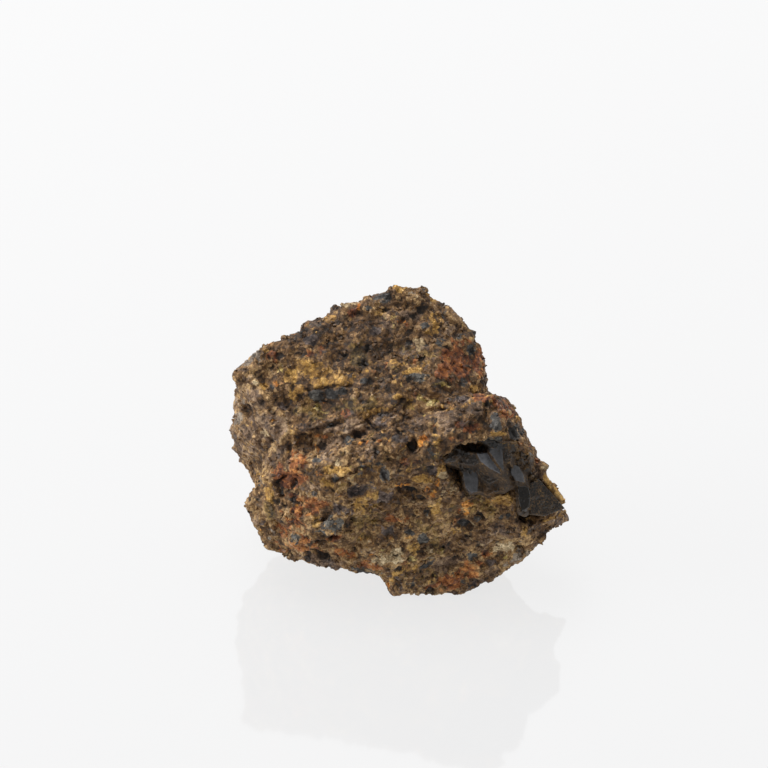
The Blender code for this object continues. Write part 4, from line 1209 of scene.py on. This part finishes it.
def wedges(points, triangles):
    """Small glassy crystals that stand half out of the rock, each on a point of it that chance picks.

    All are the one wedge: each of its corners goes to the point plus the sum of the wedge's own
    three directions, times the corner's coordinates and the wedge's three sizes.
    """
    shape, faces = wedge()
    number = np.stack([np.arange(WEDGE_COUNT)] * 3, axis=1)
    host = (scrambled(number, HOST_SALT) * len(points)).astype(int)
    luck = np.stack([scrambled(number, WEDGE_SALT + axis) for axis in range(6)], axis=1)
    axis = unit(outward(points, triangles)[host] + WEDGE_LEAN * (luck[:, :3] - 0.5))
    side = unit(np.cross(axis, luck[:, 3:] - 0.5))
    ways = np.stack([side, np.cross(axis, side), axis * WEDGE_FLAT], axis=1)
    smallest, largest = WEDGE_SIZES
    size = (smallest + (largest - smallest) * luck[:, 0] ** 3) * MM
    stretch = size[:, None] * (WEDGE_LEAST + WEDGE_MORE * luck[:, 3:])
    corners = points[host][:, None] + (shape * stretch[:, None]) @ ways
    corners = corners.reshape(-1, 3)
    corners[:, 2] = np.maximum(corners[:, 2], 0.0)
    faces = faces + (np.arange(WEDGE_COUNT) * len(shape))[:, None, None]
    return corners, faces.reshape(-1, 3), np.repeat(host, len(shape))


# The crystals of the hollow

# The outline of the hollow in the picture
HOLLOW_RIM = (
    (440, 457), (450, 449), (463, 442), (487, 439), (503, 441), (516, 443), (530, 456), (533, 480),
    (531, 508), (525, 514), (520, 512), (518, 486), (509, 487), (503, 491), (495, 491), (488, 495),
    (480, 491), (471, 492), (463, 485), (461, 468), (446, 463),
)
# The crystals' front faces: the outline in the picture, then how far back the middle lies in millimetres,
# how steeply the face falls away to the right and upwards, and how much grey is painted on it (a painted
# reflection of the white studio, partly haze), how honey brown and how dirty it is
HOLLOW_FACES = {
    # The bright face's grey is a painted reflection of the white studio
    "bright face": (
        ((477, 453), (486, 451), (492, 454), (497, 462), (500, 473), (490, 468), (481, 461)),
        -14.3, 0.40, 0.30, 1.25, 0.0, 0.0,
    ),
    "face beside it": (
        ((487, 442), (499, 441), (502, 447), (503, 470), (498, 463), (489, 451)),
        -14.2, 0.10, 0.14, 0.45, 0.0, 0.05,
    ),
    "brow": (
        ((461, 455), (474, 452), (480, 455), (482, 460), (474, 465), (464, 464)),
        -13.95, -0.2, 0.05, 0.1, 0.1, 0.3,
    ),
    "left shelf": (
        ((443, 458), (449, 452), (458, 451), (461, 456), (455, 461), (445, 462)),
        -13.95, -0.2, 0.3, 0.3, 0.15, 0.35,
    ),
    "left face": (
        ((463, 471), (467, 468), (475, 467), (478, 480), (477, 491), (470, 494), (466, 488)),
        -14.3, -0.15, 0.1, 0.5, 0.0, 0.05,
    ),
    "under the bright face": (
        ((476, 466), (483, 463), (500, 473), (498, 480), (489, 483), (480, 478)),
        -14.05, 0.05, -0.15, 0.0, 0.1, 0.36,
    ),
    "right face": (
        ((511, 464), (518, 466), (523, 475), (524, 482), (516, 480), (511, 473)),
        -14.25, 0.4, 0.12, 0.55, 0.0, 0.0,
    ),
    "dark column": (
        ((503, 447), (510, 447), (512, 455), (510, 464), (505, 462)),
        -14.05, 0.1, -0.05, 0.05, 0.1, 0.45,
    ),
    "brown column": (
        ((503, 464), (509, 466), (511, 474), (508, 481), (502, 476)),
        -13.8, -0.1, -0.1, 0.0, 0.5, 0.6,
    ),
    "honey face": (
        ((480, 485), (489, 482), (497, 485), (499, 491), (492, 496), (482, 494)),
        -13.95, -0.1, 0.0, 0.0, 1.0, 0.55,
    ),
    "green face": (
        ((498, 486), (506, 483), (515, 484), (510, 489), (502, 491)),
        -13.85, 0.1, 0.1, 0.1, 0.3, 0.5,
    ),
    "prism": (
        ((518, 482), (527, 483), (530, 496), (529, 507), (522, 511), (519, 499)),
        -14.6, 0.2, -0.1, 0.0, 0.0, 0.1,
    ),
    # The prism foot's grey is a painted highlight
    "prism foot": (
        ((523, 508), (529, 503), (530, 508), (525, 511)),
        -14.7, 0.5, 0.9, 0.8, 0.0, 0.0,
    ),
}
# Gaps between the crystals: a mark, and how deep they are in millimetres
HOLLOW_PITS = {
    "arch": (474, 447, 13, 4.5, 8, 2.0),
    "slit": (445, 453, 6, 2.0, -38, 1.2),
}
# How far back the floor lies in millimetres, and how much deeper it gets for each pixel squared to
# the right of a place
HOLLOW_FLOOR = -13.75
FLOOR_DROP, DROP_START = 0.0022, 508
# The floor's grains: width and step in millimetres, how steep the facets are, and a salt
HOLLOW_GRAINS = ((1.1, 0.45, 1.3, 301), (0.5, 0.24, 1.2, 311))
# The floor's dirt: the least, what a grain's luck adds, and what the right side has besides
FLOOR_DIRT, FLOOR_LUCK, RIGHT_DIRT = 0.12, 0.4, 0.28
RIGHT_SIDE = (500.0, 512.0)
FLOOR_HONEY, FLOOR_WORN = 0.5, 0.5
# The sides of the crystals, as painted grey (painted reflection, partly haze), honey brown, dirt and wear,
# and where they begin and end to take over from the face, in pixels outside its outline
SIDE_LOOKS = (0.0, 0.2, 0.5, 0.9)
SIDE_START = (0.1, 0.8)
# How rough a clean face is in millimetres, how much rougher a side is, and how wide that is
FACE_ROUGH, SIDE_ROUGH, DIRT_ROUGH, ROUGH_GRAIN = 0.015, 0.16, 0.8, 0.32
# The crust's grid in pixels, how much of it lies round the rim, and how steeply faces and the rim
# fall away outside their outlines
HOLLOW_GRID, HOLLOW_MARGIN = 0.5, 7
FACE_FALL, RIM_FALL, RIM_WIDTH = 2.0, 3.0, 3.5
CRUST_THICKNESS = 2.5 * MM
# The salts of the floor's colours and of the faces' roughness
FLOOR_SALT, FACE_SALT = 321, 331


def outside(right, down, corners):
    """How many pixels places lie outside a convex outline: the most that they lie beyond a side."""
    corners = np.array(corners, float)
    away = corners - corners.mean(axis=0)
    corners = corners[np.argsort(np.arctan2(away[:, 1], away[:, 0]))]
    side = np.roll(corners, -1, axis=0) - corners
    length = np.hypot(side[:, 0], side[:, 1])
    beyond = [
        ((right - start[0]) * along[1] - (down - start[1]) * along[0]) / size
        for start, along, size in zip(corners, side, length)
    ]
    return np.max(beyond, axis=0)


def within(right, down, corners):
    """Which places lie inside any outline: those with an odd number of its sides to their right."""
    inside = np.zeros(len(right), bool)
    for (start_right, start_down), (end_right, end_down) in zip(corners, corners[1:] + corners[:1]):
        level = (start_down > down) != (end_down > down)
        share = (down - start_down) / ((end_down - start_down) or 1.0)
        inside ^= level & (right < start_right + share * (end_right - start_right))
    return inside


def closed_plate(front, back, kept):
    """Two grids of points, one before the other, as one closed plate.

    It has the kept squares of both grids, and a strip between them all round, on the triangles'
    sides that no neighbour shares.
    """
    count = kept.size
    index = np.arange(count).reshape(kept.shape)
    a, b, c, d = index[:-1, :-1], index[:-1, 1:], index[1:, 1:], index[1:, :-1]
    whole = kept[:-1, :-1] & kept[:-1, 1:] & kept[1:, 1:] & kept[1:, :-1]
    sheet = np.concatenate([np.stack([a, d, c], axis=-1)[whole], np.stack([a, c, b], axis=-1)[whole]])
    sides = np.concatenate([sheet[:, [0, 1]], sheet[:, [1, 2]], sheet[:, [2, 0]]])
    open_side = ~np.isin(sides[:, 0] * count + sides[:, 1], sides[:, 1] * count + sides[:, 0])
    start, end = sides[open_side].T
    strip = ((start, end + count, end), (start, start + count, end + count))
    strip = [np.stack(corners, axis=1) for corners in strip]
    faces = np.concatenate([sheet, sheet[:, ::-1] + count, *strip])
    used, faces = np.unique(faces, return_inverse=True)
    points = np.concatenate([front.reshape(-1, 3), back.reshape(-1, 3)])[used]
    return points, faces.reshape(-1, 3), used % count


def hollow_floor(right, down, places):
    """The grainy floor between the crystals: how near to the camera it is, and its looks.

    It is an upright wall that drops away to the right, with a step and a facet for every grain.
    """
    near = nearness(down, HOLLOW_FLOOR * MM) - FLOOR_DROP * MM * np.maximum(right - DROP_START, 0.0) ** 2
    for span, step, steep, salt in HOLLOW_GRAINS:
        _, away, cube = grains(places / span, salt)
        facet = span * steep * own_facets(away, cube, salt)
        near += (step * own_steps(cube, salt) + facet) * MM
    luck = scrambled(cube, FLOOR_SALT)
    return near, {
        "haze_and_painted_reflection": np.zeros(len(near)),
        "honey": FLOOR_HONEY * luck**3,
        "dirt": FLOOR_DIRT + FLOOR_LUCK * luck + RIGHT_DIRT * smoothstep(*RIGHT_SIDE, right),
        "worn": np.full(len(near), FLOOR_WORN),
    }


def hollow_crust():
    """The crystals of the hollow: one crust, whose nearness to the camera is worked out over the picture.

    It is the greatest of the floor's and of every crystal's, and a crystal's is that of its front
    face's plane, which falls steeply outside the face's outline. Beyond the hollow's rim the crust
    falls away into the stone.
    """
    (left, top), (rightmost, lowest) = np.min(HOLLOW_RIM, axis=0), np.max(HOLLOW_RIM, axis=0)
    right, down = np.meshgrid(
        np.arange(left - HOLLOW_MARGIN, rightmost + HOLLOW_MARGIN, HOLLOW_GRID),
        np.arange(top - HOLLOW_MARGIN, lowest + HOLLOW_MARGIN, HOLLOW_GRID),
    )
    shape = right.shape
    right, down = right.ravel(), down.ravel()
    pitch = (EYE @ TOWARDS - nearness(down.mean(), HOLLOW_FLOOR * MM)) / PIXELS
    places = np.stack([right, down, np.zeros_like(right)], axis=1) * pitch / MM
    near, looks = hollow_floor(right, down, places)
    for outline, forward, right_fall, up_fall, haze_and_painted_reflection, honey, dirt in HOLLOW_FACES.values():
        middle_right, middle_down = np.mean(outline, axis=0)
        across, above = (right - middle_right) * pitch, (middle_down - down) * pitch
        face = nearness(middle_down, forward * MM) - right_fall * across - up_fall * above
        beyond = np.maximum(outside(right, down, outline), 0.0)
        side = smoothstep(*SIDE_START, beyond)
        rough = FACE_ROUGH + SIDE_ROUGH * np.maximum(side, DIRT_ROUGH * dirt)
        face += rough * MM * rough_noise(places / ROUGH_GRAIN + forward, FACE_SALT, 3)
        face -= FACE_FALL * beyond * pitch
        before = face > near
        near = np.maximum(near, face)
        for look, value, outer in zip(looks.values(), (haze_and_painted_reflection, honey, dirt, 0.0), SIDE_LOOKS):
            look[before] = (value + side * (outer - value))[before]
    for where in HOLLOW_PITS.values():
        near -= where[5] * MM * mark(right, down, where)
    beyond = beside(right, down, HOLLOW_RIM + HOLLOW_RIM[:1]) * ~within(right, down, HOLLOW_RIM)
    near -= RIM_FALL * beyond * pitch
    front, back = placed(right, down, near), placed(right, down, near - CRUST_THICKNESS)
    points, triangles, which = closed_plate(front, back, (beyond < RIM_WIDTH).reshape(shape))
    axinite = smoky_axinite("smoky_axinite")
    crust = piece("hollow_crystals", points, triangles, axinite, smooth=True)
    for name, values in looks.items():
        store(crust, name, values[which])
    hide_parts("vug_crystals")


# The big crystal on the corner

# The crystal's middle: where it is seen, and how far back it lies in millimetres
CORNER_MIDDLE = ((540, 499), -12.2)
# How much grey is painted on its faces (a painted reflection, partly haze), how honey brown, how dirty and
# how worn they are
CLEAN, TIP, LOWER = (0.0, 0.0, 0.46, 0.05), (0.35, 0.0, 0.15, 0.05), (0.0, 0.25, 0.6, 0.9)
# Its faces: where they are seen, how far back they lie there, how they turn (to the right, up and
# towards the camera), and their looks
CORNER_FACES = {
    "front": ((541, 497), -13.9, (0.3, -0.16, 1.0), CLEAN),
    "tip": ((559, 504), -14.05, (1.0, 0.15, 0.8), TIP),
    "lower": ((541, 515.5), -14.3, (-0.1, -1.0, 0.05), LOWER),
    "lower right": ((558, 511), -13.9, (0.36, -0.93, 0.05), LOWER),
    "lower left": ((529, 509), -14.2, (-0.95, -0.4, 0.2), LOWER),
    "left": ((526, 493), -13.4, (-1.0, 0.1, 0.4), CLEAN),
    "top left": ((529, 482), -12.9, (-0.5, 1.0, 0.5), CLEAN),
    "slope": ((552, 494), -12.0, (0.746, 0.666, 0.0), CLEAN),
    "back": ((540, 499), -9.6, (0.1, 0.2, -1.0), CLEAN),
}
CRYSTAL_ROWS, CRYSTAL_COLUMNS = 90, 180
# How wide and how deep its chips and growth steps are, in millimetres, and their salt
FLAW_WIDTH, FLAW_DEPTH = 0.7, 0.09
FLAW_SALT = 341


def ball():
    """The ways from a ball's middle to its points, row below row and then the poles, and its triangles."""
    level, turn = np.meshgrid(
        np.linspace(0.0, math.pi, CRYSTAL_ROWS + 1)[1:-1],
        np.arange(CRYSTAL_COLUMNS) * 2 * math.pi / CRYSTAL_COLUMNS, indexing="ij",
    )
    ways = np.stack([np.sin(level) * np.cos(turn), np.sin(level) * np.sin(turn), np.cos(level)], axis=-1)
    ways = np.concatenate([ways.reshape(-1, 3), np.array([[0.0, 0.0, 1.0], [0.0, 0.0, -1.0]])])
    index = np.arange(level.size).reshape(level.shape)
    after = np.roll(index, -1, axis=1)
    a, b, c, d = (corner.ravel() for corner in (index[:-1], index[1:], after[1:], after[:-1]))
    top, bottom = (np.full(CRYSTAL_COLUMNS, level.size + pole) for pole in (0, 1))
    sides = ((a, b, c), (a, c, d), (top, index[0], after[0]), (bottom, after[-1], index[-1]))
    return ways, np.concatenate([np.stack(corners, axis=1) for corners in sides])


def corner_crystal():
    """The big crystal: in each direction from its middle it reaches to the nearest of its faces' planes.

    That distance is the face's own distance divided by the cosine between its normal and the
    direction, less a little for chips and growth steps.
    """
    (middle_right, middle_down), forward = CORNER_MIDDLE
    middle = placed(middle_right, middle_down, nearness(middle_down, forward * MM))
    ways, triangles = ball()
    reach = np.full(len(ways), np.inf)
    face = np.zeros(len(ways), int)
    for number, ((right, down), forward, turned, _) in enumerate(CORNER_FACES.values()):
        normal = np.array(turned) @ np.stack([RIGHT, UP, TOWARDS])
        normal = normal / math.sqrt(normal @ normal)
        distance = (placed(right, down, nearness(down, forward * MM)) - middle) @ normal
        facing = ways @ normal
        ahead = distance / np.where(facing > 0.0, facing, 1.0)
        ahead[facing <= 0.0] = np.inf
        face[ahead < reach] = number
        reach = np.minimum(reach, ahead)
    points = middle + ways * reach[:, None]
    flaw = np.maximum(rough_noise(points / MM / FLAW_WIDTH, FLAW_SALT, 3), 0.0)
    points = points - ways * (FLAW_DEPTH * MM * flaw)[:, None]
    axinite = smoky_axinite("black_axinite")
    crystal = piece("corner_axinite_crystal", points, triangles, axinite, smooth=True)
    looks = np.array([values for *_, values in CORNER_FACES.values()])[face]
    for name, values in zip(("haze_and_painted_reflection", "honey", "dirt", "worn"), looks.T):
        store(crystal, name, values)
    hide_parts("corner_crystal")


# The studio

FLOOR_SIZE = 6.0
# The tent glows more the further its wall lies this way, from the least to full
TENT_WAY = (0.1, 0.85, -0.25)
TENT_RANGE, TENT_LEAST = (-0.9, 0.5), 0.25
# The lamps aim at the stone's middle: each one's place and size in metres, and its watts
STONE_MIDDLE = Vector((0.0, 0.0, 0.018))
SOFTBOXES = {
    "overhead softbox": ((-0.10, 0.10, 0.45), 0.30, 1.6),
    "left softbox": ((-0.40, -0.02, 0.20), 0.25, 1.2),
}


def studio():
    """A white floor and a white tent round the stone, darker on the camera's side."""
    bpy.ops.mesh.primitive_plane_add(size=FLOOR_SIZE)
    floor = bpy.context.object
    floor.name = "floor"
    floor.data.materials.append(white_acrylic())
    world = bpy.data.worlds.new("white tent")
    bpy.context.scene.world = world
    world.use_nodes = True
    tree = world.node_tree
    background = tree.nodes["Background"]
    way = add(tree, "ShaderNodeTexCoord", result="Generated")
    front = add(tree, "ShaderNodeVectorMath", {0: way, 1: TENT_WAY}, "Value", operation="DOT_PRODUCT")
    darkest, brightest = TENT_RANGE
    glow = {"Value": front, "From Min": darkest, "From Max": brightest, "To Min": TENT_LEAST}
    glow = add(tree, "ShaderNodeMapRange", glow)
    tree.links.new(glow, background.inputs["Strength"])
    background.inputs["Color"].default_value = linear("ffffff")
    for name, (place, size, power) in SOFTBOXES.items():
        data = bpy.data.lights.new(name, "AREA")
        data.size = size
        data.energy = power
        lamp = bpy.data.objects.new(name, data)
        lamp.location = place
        lamp.rotation_euler = (Vector(place) - STONE_MIDDLE).to_track_quat("Z", "Y").to_euler()
        bpy.context.collection.objects.link(lamp)


def camera():
    """The photograph's camera: at the eye, turned down, on its long lens."""
    data = bpy.data.cameras.new("camera")
    data.lens = LENS
    data.sensor_width = SENSOR
    data.clip_start, data.clip_end = 0.01, 20.0
    made = bpy.data.objects.new("camera", data)
    made.location = EYE
    made.rotation_euler = (math.pi / 2 - CAMERA_DOWN, 0.0, 0.0)
    bpy.context.collection.objects.link(made)
    bpy.context.scene.camera = made


def main():
    """The whole scene: camera, studio, rock, small crystals, and those of the hollow and the corner."""
    camera()
    studio()
    bpy.context.scene.view_settings.view_transform = "Standard"
    points, triangles, looks = rock()
    skarn = broken_skarn("broken_iron_stained_skarn", *ROCK_GLOSS)
    stone = piece("rock", points, triangles, skarn, smooth=True)
    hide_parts("matrix")
    corners, faces, host = wedges(points, triangles)
    glassy = broken_skarn("glassy_skarn_grains", *GRAIN_GLOSS)
    grit = piece("crystal_grains", corners, faces, glassy)
    for name, values in looks.items():
        store(stone, name, values)
        store(grit, name, values[host])
    hollow_crust()
    corner_crystal()


main()
